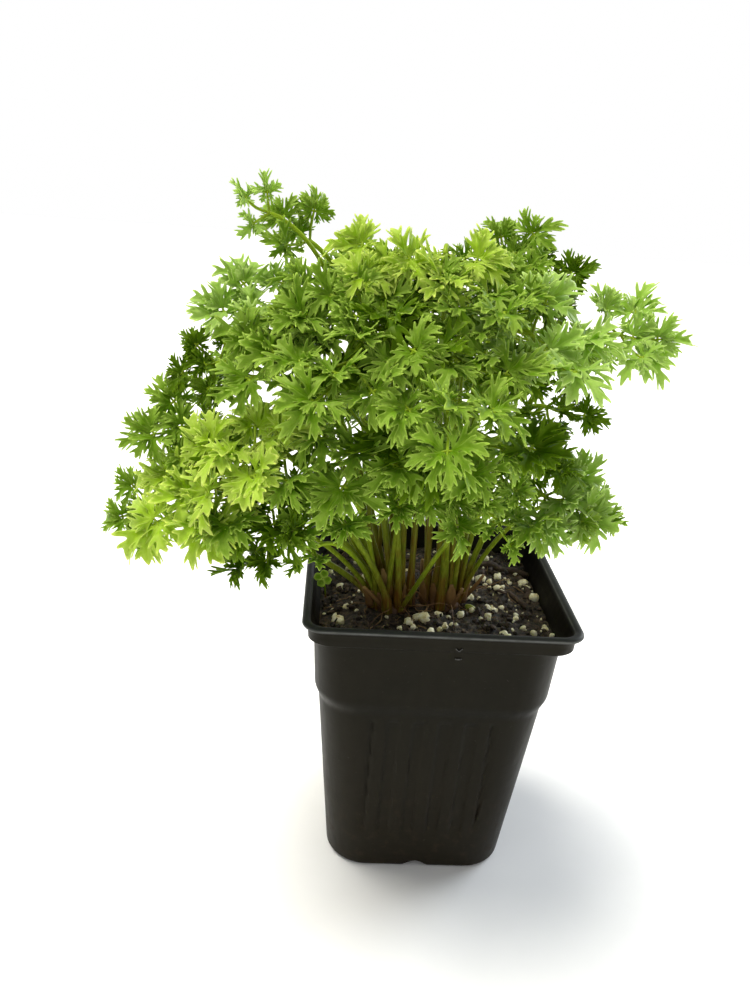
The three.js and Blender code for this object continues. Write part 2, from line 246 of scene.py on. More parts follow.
def pot_material():
    """Thin black moulded plastic: a faint sheen, soil dust low down, fine scuffs, and a painted highlight
    on the lip and its outer edge.
    """
    n = Nodes("pot_plastic")
    height = n.node("SeparateXYZ", {"Vector": n.coords()}).outputs["Z"]
    low_down = n.remap(height, 0.0, DUSTY_UP_TO, 1.0, 0.0)
    dust = n.math("MULTIPLY", n.remap(n.noise(5, 6, 0.7), 0.52, 0.75, 0.0, 1.0), low_down)
    specks = n.remap(n.noise(1.1, 2, 0.5), 0.7, 0.76, 0.0, 0.7)
    blacks = [(0.35, (0.0028, 0.0025, 0.0013)), (0.7, (0.0056, 0.0047, 0.0026))]
    upper = n.ramp(n.noise(28, 5), blacks)
    # Lighter grey toward the bottom.
    cloud = n.mix(n.remap(height, 0.0, GREY_UP_TO, 1.0, 0.0), upper, (0.0125, 0.0102, 0.0062))
    # The lip's paler band is a painted highlight.
    lip = n.mix(n.remap(height, LIP_HIGHLIGHT_FROM, LIP_HIGHLIGHT_FULL, 0.0, 0.8), cloud, (0.03, 0.032, 0.031))
    # A patchy painted highlight along the lip's outer edge.
    above = n.remap(height, *LIP_EDGE_HIGHLIGHT[:2], 0.0, 1.0)
    below = n.remap(height, *LIP_EDGE_HIGHLIGHT[2:], 1.0, 0.0)
    edge = n.math("MULTIPLY", above, below)
    lip_edge_highlight_share = n.math("MULTIPLY", edge, n.remap(n.noise(7, 5, 0.6), 0.3, 0.6, 0.35, 0.9))
    lip_edge_highlit = n.mix(lip_edge_highlight_share, lip, (0.12, 0.125, 0.12))
    dusty = n.mix(n.math("MULTIPLY", dust, 0.75), lip_edge_highlit, (0.042, 0.029, 0.019))
    color = n.mix(n.math("MULTIPLY", specks, 0.18), dusty, (0.11, 0.1, 0.085))
    scuff = n.noise(3, 8, 0.7, (1, 1, 0.12))
    rough = n.math("ADD", n.remap(scuff, 0.3, 0.7, 0.36, 0.52), n.math("MULTIPLY", dust, 0.3))
    grain = n.bump(n.noise(0.5, 2), 0.12, 0.15)
    wave = n.bump(n.noise(16, 2), 0.25, 1.0, grain)
    scratch = n.bump(n.noise(1.6, 3, 0.6, (0.08, 0.08, 1.6)), 0.12, 0.2, wave)
    return n.finish(n.surface({
        "Base Color": color, "Roughness": rough, "Normal": scratch, "Specular IOR Level": 0.11,
        "Specular Tint": (1.0, 0.95, 0.76, 1.0),
    }))


# Lump size in mm, detail and roughness of the colour noise; the same of the relief noise; strength
# and depth in mm of the relief; roughness of the surface; colours from low noise to high.
GRAINY = {
    "rubbed_plastic": ((0.8, 4, 0.55), (0.4, 2, 0.55), 0.2, 0.1, 0.55, [
        (0.35, (0.02, 0.02, 0.018)), (0.6, (0.1, 0.1, 0.092)),
    ]),
    "soil": ((2.2, 8, 0.7), (0.9, 6, 0.7), 0.9, 0.8, 0.8, [
        (0.34, (0.004, 0.0032, 0.002)), (0.48, (0.018, 0.012, 0.007)),
        (0.6, (0.08, 0.052, 0.028)), (0.76, (0.22, 0.15, 0.09)),
    ]),
    "bark": ((1.8, 6, 0.65), (0.8, 5, 0.6), 0.8, 0.5, 0.85, [
        (0.3, (0.012, 0.007, 0.004)), (0.55, (0.045, 0.025, 0.013)), (0.8, (0.13, 0.08, 0.045)),
    ]),
    "perlite": ((1.6, 5, 0.6), (0.5, 4, 0.6), 0.7, 0.35, 0.8, [
        (0.25, (0.35, 0.25, 0.09)), (0.4, (0.68, 0.6, 0.34)),
        (0.58, (0.86, 0.81, 0.6)), (0.8, (0.92, 0.9, 0.84)),
    ]),
    "fibre": ((3, 4, 0.55), (0.4, 3, 0.55), 0.5, 0.1, 0.8, [
        (0.3, (0.06, 0.03, 0.012)), (0.55, (0.2, 0.12, 0.05)), (0.8, (0.42, 0.32, 0.17)),
    ]),
    "feed_grain": ((1.5, 4, 0.55), (0.4, 3, 0.55), 0.3, 0.1, 0.35, [
        (0.3, (0.14, 0.17, 0.015)), (0.6, (0.3, 0.33, 0.05)), (0.85, (0.5, 0.46, 0.16)),
    ]),
}


def grainy_material(name):
    tint, grain, strength, depth, rough, stops = GRAINY[name]
    n = Nodes(name)
    color = n.ramp(n.noise(*tint), stops)
    relief = n.bump(n.noise(*grain), strength, depth)
    return n.finish(n.surface({"Base Color": color, "Roughness": rough, "Normal": relief}))


BROWN_UP_TO, OLIVE_FROM = 0.112, 0.135  # heights on a crown


def crown_material():
    """Papery leaf bases: brown at the soil, olive above, with fine upright fibres."""
    n = Nodes("crown")
    height = n.node("SeparateXYZ", {"Vector": n.coords()}).outputs["Z"]
    lumps = n.math("MULTIPLY", n.noise(6, 4), 0.5)
    rise = n.math("ADD", n.remap(height, BROWN_UP_TO, OLIVE_FROM, 0.0, 0.6), lumps)
    color = n.ramp(rise, [
        (0.2, (0.022, 0.009, 0.003)), (0.42, (0.075, 0.03, 0.008)),
        (0.62, (0.17, 0.085, 0.02)), (0.9, (0.27, 0.18, 0.055)),
    ])
    fibre = n.bump(n.noise(0.6, 4, 0.6, (1, 1, 0.12)), 0.5, 0.3)
    return n.finish(n.surface({"Base Color": color, "Roughness": 0.6, "Normal": fibre}))


def stem_material():
    """Fleshy ribbed stem: olive-brown at the foot, then green, and lighter toward the leaf."""
    n = Nodes("stem")
    along = n.attribute("along")
    shift = n.math("ADD", along, n.remap(n.noise(9, 3), 0.3, 0.7, -0.08, 0.08))
    color = n.ramp(shift, [
        (0.0, (0.12, 0.05, 0.008)), (0.08, (0.13, 0.09, 0.01)), (0.22, (0.1, 0.125, 0.006)),
        (0.6, (0.12, 0.19, 0.003)), (1.0, (0.26, 0.39, 0.015)),
    ])
    fibre = n.bump(n.noise(0.5, 3, 0.5, (1, 1, 0.06)), 0.25, 0.2)
    lines = n.remap(n.noise(0.9, 3, 0.5, (1, 1, 0.05)), 0.45, 0.7, 0.0, 0.3)
    streak = n.mix(lines, color, (0.3, 0.38, 0.04))
    return n.finish(n.surface({
        "Base Color": streak, "Roughness": 0.45, "Normal": fibre, "Specular IOR Level": 0.2,
        "Specular Tint": (0.95, 1.0, 0.4, 1.0),
        "Subsurface Weight": 0.2, "Subsurface Radius": (0.002, 0.002, 0.0005), "Subsurface Scale": 0.4,
    }))


# Leaf tones are partly the leaves' own colour and partly painted light: pale and yellow tones brighten
# outer, lit leaves, the dark tone darkens inner, shaded ones.
LEAF_TONES = {  # base, edge and vein colours; the edge colour also serves for painted highlights
    "pale": ((0.28, 0.50, 0.04), (0.62, 0.8, 0.28), (0.46, 0.66, 0.12)),
    "yellow": ((0.34, 0.56, 0.006), (0.7, 0.84, 0.2), (0.5, 0.68, 0.05)),
    "mid": ((0.135, 0.30, 0.001), (0.46, 0.64, 0.11), (0.28, 0.46, 0.02)),
    "dark": ((0.062, 0.155, 0.001), (0.2, 0.34, 0.012), (0.13, 0.25, 0.005)),
}


GLOW = (1.0, 0.92, 0.2)  # what light through a leaf is tinted with
GLOW_SHARE = 0.45


def leaf_material(tone):
    """A thin waxy leaf that lets light through: pale veins; edges and tips paler, partly its own colour
    and partly painted highlight; mottled between them, with painted highlight toward the lobe tips and
    painted shade at their bases.
    """
    base, edge, vein = LEAF_TONES[tone]
    n = Nodes("leaf_" + tone)
    across = n.math("ABSOLUTE", n.attribute("across"))
    along = n.attribute("along")
    # Painted highlight toward the lobe tips, painted shade at their bases.
    tip_highlight_share = n.remap(along, 0.35, 1.0, 0.0, 0.32)
    # Random mottling with patches of painted highlight.
    mottle_and_highlight = n.mix(n.math("ADD", n.remap(n.noise(4, 4), 0.35, 0.7, 0.0, 0.38), tip_highlight_share), base, edge)
    # Paler rim and tip: partly the leaf's own pale margin, partly painted highlight.
    outer = n.remap(across, 0.72, 1.0, 0.0, 1.0)
    rim_share = n.math("MULTIPLY", outer, n.remap(along, 0.2, 0.9, 0.25, 0.95))
    rimmed = n.mix(rim_share, mottle_and_highlight, edge)
    tip = n.mix(n.remap(along, 0.93, 1.0, 0.0, 0.75), rimmed, tuple(min(1.0, c * 1.25) for c in edge))
    rib = n.math("MULTIPLY", n.remap(across, 0.0, 0.16, 1.0, 0.0), n.remap(along, 0.0, 0.9, 0.8, 0.3))
    color = n.mix(rib, tip, vein)
    pucker = n.bump(n.noise(1.6, 3, 0.5), 0.22, 0.5)
    groove = n.bump(n.remap(across, 0.0, 0.2, 0.0, 1.0), 0.3, 0.3, pucker)
    face = n.surface({
        "Base Color": color, "Roughness": 0.42, "Normal": groove,
        "Specular IOR Level": 0.22, "Specular Tint": (0.95, 1.0, 0.3, 1.0),
    })
    glow = n.mix(1.0, color, GLOW, "MULTIPLY")
    through = n.node("BsdfTranslucent", {"Color": glow, "Normal": groove}).outputs["BSDF"]
    mixed = n.node("MixShader", {"Fac": GLOW_SHARE})
    n.put(mixed.inputs[1], face)
    n.put(mixed.inputs[2], through)
    return n.finish(mixed.outputs[0])


POT_PLASTIC = pot_material()
MARK, SOIL, BARK, PERLITE, FIBRE, GRAIN = (grainy_material(name) for name in GRAINY)
CROWN = crown_material()
STEM = stem_material()
LEAVES_BY_TONE = {tone: leaf_material(tone) for tone in LEAF_TONES}

# -------- mesh building


class Shape:
    """Vertices in millimetres, faces with a material number, and two numbers for each vertex.

    The two numbers are where it is along its stem or lobe, and how far out from the middle."""

    END_ROUND = 0.6  # how far a tube's ends stand out, as a share of its radius

    def __init__(self):
        self.points, self.faces, self.slots = [], [], []
        self.along, self.across = [], []

    def vertex(self, point, along=0.0, across=0.0):
        self.points.append(tuple(point))
        self.along.append(along)
        self.across.append(across)
        return len(self.points) - 1

    def face(self, corners, slot=0):
        self.faces.append(tuple(corners))
        self.slots.append(slot)

    def skin(self, rings, slot=0, closed=True):
        """Quads between neighbouring rings of vertex numbers."""
        count = len(rings[0])
        for low, high in zip(rings, rings[1:]):
            for i in range(count if closed else count - 1):
                nxt = (i + 1) % count
                self.face((low[i], low[nxt], high[nxt], high[i]), slot)

    def tube(self, path, radii, sides, slot=0, ribs=0.0, span=(0.0, 1.0)):
        """A closed tube through the points of path, with its ends rounded off."""
        tangents = [(path[min(i + 1, len(path) - 1)] - path[max(i - 1, 0)]).normalized()
                    for i in range(len(path))]
        side = tangents[0].orthogonal().normalized()
        rings = []
        for i, (centre, radius, tangent) in enumerate(zip(path, radii, tangents)):
            side = (side - tangent * side.dot(tangent)).normalized()
            other = tangent.cross(side)
            along = lerp(*span, i / (len(path) - 1))
            ring = []
            for k in range(sides):
                angle = FULL_TURN * k / sides
                reach = radius * (1 + ribs * (1 if k % 2 else -1))
                offset = side * math.cos(angle) * reach + other * math.sin(angle) * reach
                ring.append(self.vertex(centre + offset, along, 0.5))
            rings.append(ring)
        self.skin(rings, slot)
        for ring, centre, tangent, radius, flip in (
            (rings[0], path[0], -tangents[0], radii[0], True),
            (rings[-1], path[-1], tangents[-1], radii[-1], False),
        ):
            share = span[0] if flip else span[1]
            end = self.vertex(centre + tangent * radius * self.END_ROUND, share, 0.5)
            for k in range(sides):
                pair = (ring[k], ring[(k + 1) % sides])
                self.face((end, pair[1], pair[0]) if flip else (end, pair[0], pair[1]), slot)

    def lump(self, centre, size, rng, rough, level, turn=None):
        """An uneven lump: a sphere of triangles pushed in and out by noise."""
        turn = turn or Quaternion(rng_unit(rng), rng.uniform(0, ANY_TURN))
        seed = Vector([rng.uniform(-50, 50) for _ in range(3)])
        verts, faces = SPHERES[level]
        first = len(self.points)
        for direction in verts:
            lumps = noise.noise(direction * 1.3 + seed) + 0.6 * noise.noise(direction * 3.1 + seed)
            local = Vector([a * b for a, b in zip(direction, size)])
            local *= 1 + rough * lumps
            self.vertex(centre + turn @ local)
        for face in faces:
            self.face([first + i for i in face])


def rng_unit(rng):
    """A random direction."""
    z = rng.uniform(-1, 1)
    angle = rng.uniform(0, FULL_TURN)
    flat = math.sqrt(1 - z * z)
    return Vector((flat * math.cos(angle), flat * math.sin(angle), z))


def sphere_template(level):
    """Directions and triangles of an icosphere."""
    mesh = bpy.data.meshes.new("template")
    work = bmesh.new()
    bmesh.ops.create_icosphere(work, subdivisions=level, radius=1)
    work.to_mesh(mesh)
    work.free()
    verts = [v.co.normalized() for v in mesh.vertices]
    faces = [tuple(p.vertices) for p in mesh.polygons]
    bpy.data.meshes.remove(mesh)
    return verts, faces


SPHERES = {level: sphere_template(level) for level in (1, 2, 3)}


def make_piece(name, shape, materials, replaces=(), flat=False):
    """Turns a shape into an object that rides with the pot."""
    mesh = bpy.data.meshes.new(name)
    points = np.array(shape.points, float) * MM
    mesh.from_pydata(points.tolist(), [], shape.faces)
    for material in materials:
        mesh.materials.append(material)
    mesh.polygons.foreach_set("material_index", shape.slots)
    mesh.polygons.foreach_set("use_smooth", [not flat] * len(shape.faces))
    for key in ("along", "across"):
        layer = mesh.attributes.new(key, "FLOAT", "POINT")
        layer.data.foreach_set("value", getattr(shape, key))
    mesh.update()
    piece = add_object(name, mesh)
    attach(piece, BODY)
    if replaces:
        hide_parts(*replaces)
    return piece


# -------- floor

FLOOR_HALF = 3.0  # metres


def make_floor():
    mesh = bpy.data.meshes.new("floor")
    corners = [(x * FLOOR_HALF, y * FLOOR_HALF, 0) for x, y in ((-1, -1), (1, -1), (1, 1), (-1, 1))]
    mesh.from_pydata(corners, [], [(0, 1, 2, 3)])
    mesh.materials.append(floor_material())
    floor = add_object("floor", mesh)


make_floor()

# -------- pot

POT_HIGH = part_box("nursery_pot")[1] / MM
POT_HEIGHT = POT_HIGH.z
LIP_HALF = POT_HIGH.x
WALL = 1.3
FLOOR = 1.6
RIB_DEPTH = 1.0
BODY_CORNER, COLLAR_CORNER = 17.0, 8.0
BODY_PROFILE = [(2.6, 39.2), (84.5, 46.3), (90, 48.1), (118, 49.7)]  # height, half width
RIBS, RIB_PITCH = 5, 10.4
RIB_BOTTOM, RIB_TOP = 20.0, 82.5
FLAT_STEPS, CORNER_STEPS = 60, 12


def body_half(z):
    """Half the width of the pot's outside, with the crease between its two tapers rounded."""
    (z0, h0), (z1, h1), (z2, h2), (z3, h3) = BODY_PROFILE
    lower = lerp(h0, h1, (z - z0) / (z1 - z0))
    upper = lerp(h2, h3, (z - z2) / (z3 - z2))
    return lerp(lower, upper, smoothstep(z1 - 0.5, z2 + 1.5, z))


def pot_ring(shape, z, half, corner, rib=0.0):
    """One level of the pot: a rounded square whose sides carry shallow upright ribs."""
    ring = []
    flat = half - corner
    for side in range(4):
        turn = side * math.pi / 2
        outline = []
        for step in range(FLAT_STEPS):
            along = lerp(-flat, flat, step / FLAT_STEPS)
            inside = smoothstep(RIBS * RIB_PITCH / 2, RIBS * RIB_PITCH / 2 - 2, abs(along))
            wave = 0.5 + 0.5 * math.cos(FULL_TURN * along / RIB_PITCH)
            groove = (1 - smoothstep(0.3, 0.62, wave)) * inside
            outline.append((half - rib * groove, along))
        for step in range(CORNER_STEPS):
            angle = math.pi / 2 * step / CORNER_STEPS
            outline.append((flat + corner * math.cos(angle), flat + corner * math.sin(angle)))
        for out, along in outline:
            x = out * math.cos(turn) - along * math.sin(turn)
            y = out * math.sin(turn) + along * math.cos(turn)
            ring.append(shape.vertex((x, y, z)))
    return ring


FOOT_RADIUS, FOOT_HALF, FOOT_STEPS = 2.6, 37.4, 5
BODY_FROM, BODY_TO = 4.0, 117.5
INSIDE_FROM, INSIDE_TO = 116.0, 5
OUTSIDE_CREASE, INSIDE_CREASE = (78, 94), (82, 94)  # heights between which the levels lie close
OUTSIDE_STEPS, INSIDE_STEPS = (0.7, 2.0), (1.5, 6.0)  # between levels, near the crease and elsewhere
# Height, half width and corner radius of the levels over the collar and lip, then down the inside.
COLLAR_LEVELS = [
    (117.6, 49.8, BODY_CORNER), (118.0, 50.3, 14), (118.2, 51.0, 11), (118.5, 51.45, 9),
    (119.0, 51.6, COLLAR_CORNER), (121.5, 51.75, COLLAR_CORNER), (124.0, 51.9, COLLAR_CORNER),
    (124.5, 52.1, COLLAR_CORNER), (124.8, 52.7, COLLAR_CORNER), (125.0, 53.4, COLLAR_CORNER),
    (125.4, 53.85, COLLAR_CORNER), (125.9, LIP_HALF, COLLAR_CORNER), (126.4, 53.85, COLLAR_CORNER),
    (126.8, 53.4, COLLAR_CORNER), (POT_HEIGHT, 52.8, COLLAR_CORNER),
    (POT_HEIGHT, 52.0, COLLAR_CORNER - 0.5), (126.8, 51.4, COLLAR_CORNER - 1),
    (126.3, 51.0, COLLAR_CORNER - WALL), (123.5, 50.3, 8), (120.5, 49.5, 10), (118.0, 48.8, 13),
]
FLOOR_LEVELS = [(2.6, 37.0, BODY_CORNER - WALL), (FLOOR, 35.5, BODY_CORNER - WALL)]


def pot_levels():
    """Heights, half widths, corner radii and rib depths, up the outside and down the inside."""
    levels = []
    for step in range(FOOT_STEPS + 1):
        angle = math.pi / 2 * step / FOOT_STEPS
        half = FOOT_HALF + (BODY_PROFILE[0][1] - FOOT_HALF) * math.sin(angle)
        levels.append((FOOT_RADIUS * (1 - math.cos(angle)), half, BODY_CORNER, 0))
    z = BODY_FROM
    while z < BODY_TO:
        fade = smoothstep(RIB_BOTTOM - 2, RIB_BOTTOM + 4, z) * smoothstep(RIB_TOP + 1, RIB_TOP - 3, z)
        levels.append((z, body_half(z), BODY_CORNER, RIB_DEPTH * fade))
        z += OUTSIDE_STEPS[0] if OUTSIDE_CREASE[0] < z < OUTSIDE_CREASE[1] else OUTSIDE_STEPS[1]
    levels += [(*level, 0) for level in COLLAR_LEVELS]
    z = INSIDE_FROM
    while z > INSIDE_TO:
        levels.append((z, body_half(z) - WALL - RIB_DEPTH * 0.6, BODY_CORNER - WALL, 0))
        z -= INSIDE_STEPS[0] if INSIDE_CREASE[0] < z < INSIDE_CREASE[1] else INSIDE_STEPS[1]
    return levels + [(*level, 0) for level in FLOOR_LEVELS]


def shrunk_ring(shape, ring, share, z):
    """A copy of a ring of vertices, drawn in toward the middle and moved to height z."""
    return [shape.vertex((shape.points[i][0] * share, shape.points[i][1] * share, z)) for i in ring]


DISC_RINGS = (0.7, 0.4, 0.15)  # rings that close the pot's bottom and floor, as shares of its width


def make_pot():
    shape = Shape()
    rings = [pot_ring(shape, *level) for level in pot_levels()]
    shape.skin(rings)
    for ring, z, flip in ((rings[0], 0, True), (rings[-1], FLOOR, False)):
        inner, count = ring, len(ring)
        for share in DISC_RINGS:
            nxt = shrunk_ring(shape, ring, share, z)
            for i in range(count):
                quad = (inner[i], inner[(i + 1) % count], nxt[(i + 1) % count], nxt[i])
                shape.face(quad[::-1] if flip else quad)
            inner = nxt
        shape.face(inner[::-1] if flip else inner)
    cut_drainage(make_piece("pot_shell", shape, [POT_PLASTIC], ["nursery_pot"]))


NOTCH_HALF_WIDTH, NOTCH_HEIGHT, NOTCH_REACH = 6.5, 3.6, 6.0
NOTCH_STEPS, NOTCH_CURVE = 12, 1.7
CUTTER_OUTSIDE, CUTTER_BELOW = -42.0, -1.0  # cutters end here, clear of the pot
DRAIN_RADIUS, DRAIN_PLACE, DRAIN_SIDES = 4.5, 21, 32
SHARP = 40  # degrees


def add_prism(shape, *ends):
    """A closed prism between two outlines."""
    rings = [[shape.vertex(point) for point in end] for end in ends]
    shape.skin(rings)
    shape.face(rings[0][::-1])
    shape.face(rings[1])


def cut_drainage(pot):
    """Cuts the arched notch in each bottom edge and the four round holes in the floor."""
    cutters = Shape()
    for side in range(4):
        turn = Matrix.Rotation(side * math.pi / 2, 3, "Z")
        arch = [(-NOTCH_HALF_WIDTH, CUTTER_BELOW), (NOTCH_HALF_WIDTH, CUTTER_BELOW)]
        for step in range(NOTCH_STEPS + 1):
            along = lerp(NOTCH_HALF_WIDTH, -NOTCH_HALF_WIDTH, step / NOTCH_STEPS)
            arch.append((along, NOTCH_HEIGHT * (1 - (abs(along) / NOTCH_HALF_WIDTH) ** NOTCH_CURVE)))
        ends = (-BODY_PROFILE[0][1] + NOTCH_REACH, CUTTER_OUTSIDE)
        add_prism(cutters, *([turn @ Vector((x, y, z)) for x, z in arch] for y in ends))
    angles = [FULL_TURN * k / DRAIN_SIDES for k in range(DRAIN_SIDES)]
    circle = [(DRAIN_RADIUS * math.cos(angle), DRAIN_RADIUS * math.sin(angle)) for angle in angles]
    for x in (-DRAIN_PLACE, DRAIN_PLACE):
        for y in (-DRAIN_PLACE, DRAIN_PLACE):
            ends = (CUTTER_BELOW, FLOOR + 1)
            add_prism(cutters, *([(x + a, y + b, z) for a, b in circle] for z in ends))
    mesh = bpy.data.meshes.new("cutters")
    mesh.from_pydata((np.array(cutters.points, float) * MM).tolist(), [], cutters.faces)
    tool = add_object("cutters", mesh)
    cut = pot.modifiers.new("cut", "BOOLEAN")
    cut.object = tool
    cut.operation = "DIFFERENCE"
    cut.solver = "EXACT"
    solved = pot.evaluated_get(bpy.context.evaluated_depsgraph_get())
    finished = bpy.data.meshes.new_from_object(solved)
    pot.modifiers.clear()
    pot.data = finished
    bpy.data.objects.remove(tool)
    sharpen(finished, SHARP)


def sharpen(mesh, degrees):
    """Marks the edges where the surface turns by more than the given angle."""
    work = bmesh.new()
    work.from_mesh(mesh)
    for edge in work.edges:
        if len(edge.link_faces) == 2 and edge.calc_face_angle(0) > math.radians(degrees):
            edge.smooth = False
    work.to_mesh(mesh)
    work.free()


make_pot()

# -------- soil

SOIL_EDGE = 115.0
SOIL_RISE, SOIL_SLOPE = 2.5, 20  # how much higher it is away from the wall, and how far away
SOIL_LUMPS = [(1.1, 9), (1.1, 3.6), (0.8, 1.6)]  # height and width of its uneven spots
SOIL_SETTLED = 0.4
LOWER_SOIL_GAP, UPPER_SOIL_GAP = 0.9, 0.35  # between soil and wall
SOIL_GRID = 130
SOIL_SIDE_LEVELS = (100, 86, 80, 40, 4.4)
SOIL_BOTTOM, SOIL_BOTTOM_HALF = 1.9, 35.0


def soil_half(z):
    """Half the soil's width: nearly touching the wall above the ribs, clear of them below."""
    return body_half(z) - WALL - (LOWER_SOIL_GAP if z < RIB_TOP + 10 else UPPER_SOIL_GAP)


def inside_square(x, y, half, corner):
    """How far a point lies inside a rounded square; negative outside it."""
    dx, dy = abs(x) - (half - corner), abs(y) - (half - corner)
    outside = math.hypot(max(dx, 0), max(dy, 0)) + min(max(dx, dy), 0)
    return corner - outside


def soil_height(x, y):
    """Crumbly soil, a little higher round the crowns and lower at the wall."""
    edge = inside_square(x, y, soil_half(SOIL_EDGE), BODY_CORNER - WALL)
    lift = SOIL_RISE * smoothstep(0, SOIL_SLOPE, edge)
    spot = Vector((x, y, 0))
    lumps = sum(tall * noise.noise(spot / wide) for tall, wide in SOIL_LUMPS)
    return SOIL_EDGE + lift + lumps - SOIL_SETTLED


COLLAR_FRONT, BODY_FRONT = -52.0, -49.85
MARKS = [
    [(4.4, COLLAR_FRONT, 120.3), (5.6, COLLAR_FRONT, 119.1), (6.8, COLLAR_FRONT, 120.3)],
    [(4.9, BODY_FRONT, 114.5), (6.2, BODY_FRONT, 114.3), (7.4, BODY_FRONT, 114.5)],
]
MARK_RADII = (0.22, 0.26, 0.22)


def make_marks():
    """The small raised V and bar that the mould leaves under the lip, at the front."""
    shape = Shape()
    for points in MARKS:
        shape.tube([Vector(point) for point in points], MARK_RADII, 8)
    make_piece("moulding_marks", shape, [MARK])


make_marks()


def make_soil():
    shape = Shape()
    half = soil_half(SOIL_EDGE)
    corner = BODY_CORNER - WALL
    grid = []
    for row in range(SOIL_GRID + 1):
        line = []
        for column in range(SOIL_GRID + 1):
            u, v = (2 * c / SOIL_GRID - 1 for c in (column, row))
            # The square grid is eased into the rounded square of the wall.
            reach = max(abs(u), abs(v))
            x, y = u * half, v * half
            over = -inside_square(x, y, half * max(reach, 1e-6), corner * reach)
            if over > 0:
                pull = 1 - over / math.hypot(x, y)
                x, y = x * pull, y * pull
            line.append(shape.vertex((x, y, soil_height(x, y))))
        grid.append(line)
    shape.skin(grid, closed=False)
    right, left = [line[-1] for line in grid[:-1]], [line[0] for line in grid[:0:-1]]
    rim = grid[0][:-1] + right + grid[-1][:0:-1] + left
    rings = [rim]
    for z in (*SOIL_SIDE_LEVELS, SOIL_BOTTOM):
        width = SOIL_BOTTOM_HALF if z == SOIL_BOTTOM else soil_half(z)
        rings.append(shrunk_ring(shape, rim, width / half, z))
    shape.skin(rings[::-1])
    shape.face(rings[-1][::-1])
    make_piece("soil_bed", shape, [SOIL], ["potting_soil"])


make_soil()

CROWNS = {"left": Vector((-19, -14)), "right": Vector((3, -9))}
CROWN_RADIUS = 10
CRUMBS, BARK_CHIPS, PERLITE_GRAINS = 620, 60, 210
CRUMB_SIZES = (0.6, 0.8, 1.0, 1.3, 1.7)
PERLITE_SIZES = (0.4, 0.5, 0.6, 0.8, 1.0, 1.3, 1.6, 2.0)
CLEAR_OF_WALL = 1.2


def soil_spots(rng, count, front_bias, clear=CROWN_RADIUS):
    """Random places on the soil, clear of the crowns, more of them toward the front and right."""
    half = soil_half(SOIL_EDGE)
    spots = []
    while len(spots) < count:
        x, y = rng.uniform(-half, half), rng.uniform(-half, half)
        if inside_square(x, y, half, BODY_CORNER - WALL) < CLEAR_OF_WALL:
            continue
        if any((Vector((x, y)) - place).length < clear for place in CROWNS.values()):
            continue
        likely = 0.5 + 0.5 * (x - y) / (2 * half)
        if rng.random() > lerp(1, likely, front_bias):
            continue
        spots.append((x, y))
    return spots


def scatter_grains(shape, rng, count, front_bias, sizes, spread, lift, rough, level):
    """Lumps on the soil; spread is how uneven their half axes are, lift how far they stand out."""
    for x, y in soil_spots(rng, count, front_bias):
        size = rng.choice(sizes)
        axes = [size * rng.uniform(*spread) for _ in range(3)]
        shape.lump(Vector((x, y, soil_height(x, y) + size * lift)), axes, rng, rough, level)


def make_crumbs():
    rng = random.Random(SEEDS["crumbs"])
    shape = Shape()
    scatter_grains(
        shape, rng, CRUMBS, front_bias=0.2, sizes=CRUMB_SIZES, spread=(0.7, 1.2), lift=0.35,
        rough=0.5, level=1,
    )
    make_piece("soil_crumbs", shape, [SOIL], flat=True)


def make_bark():
    """Flat splinters of bark lying at all angles."""
    rng = random.Random(SEEDS["bark"])
    shape = Shape()
    for x, y in soil_spots(rng, BARK_CHIPS, 0.3):
        length = rng.uniform(1.6, 4.6)
        axes = (length, length * rng.uniform(0.3, 0.5), length * rng.uniform(0.12, 0.22))
        tilt = Quaternion((1, 0, 0), rng.gauss(0, 0.3)) @ Quaternion((0, 1, 0), rng.gauss(0, 0.3))
        turn = Quaternion((0, 0, 1), rng.uniform(0, ANY_TURN)) @ tilt
        shape.lump(Vector((x, y, soil_height(x, y) + 0.9)), axes, rng, 0.35, 2, turn)
    make_piece("bark_chips", shape, [BARK])


def make_perlite():
    rng = random.Random(SEEDS["perlite"])
    shape = Shape()
    scatter_grains(
        shape, rng, PERLITE_GRAINS, front_bias=0.85, sizes=PERLITE_SIZES, spread=(0.75, 1.25),
        lift=0.45, rough=0.4, level=2,
    )
    make_piece("perlite_grains", shape, [PERLITE])


make_crumbs()
make_bark()
make_perlite()

# -------- plant layout, as in the frame

CROWN_TOP = 121.0
PLANT_AXIS = Vector((-10, -12))
STEM_SLOTS = 16
SLOT_SPREAD = 2.35
# A stem rises straight for this share of its height, and at least this many millimetres.
STRAIGHT_SHARE, STRAIGHT_LEAST = 0.42, 14
FOOT_DRIFT, TOP_DRIFT, TOP_PULL = 0.12, 0.1, 0.2  # shares of a stem's reach and length

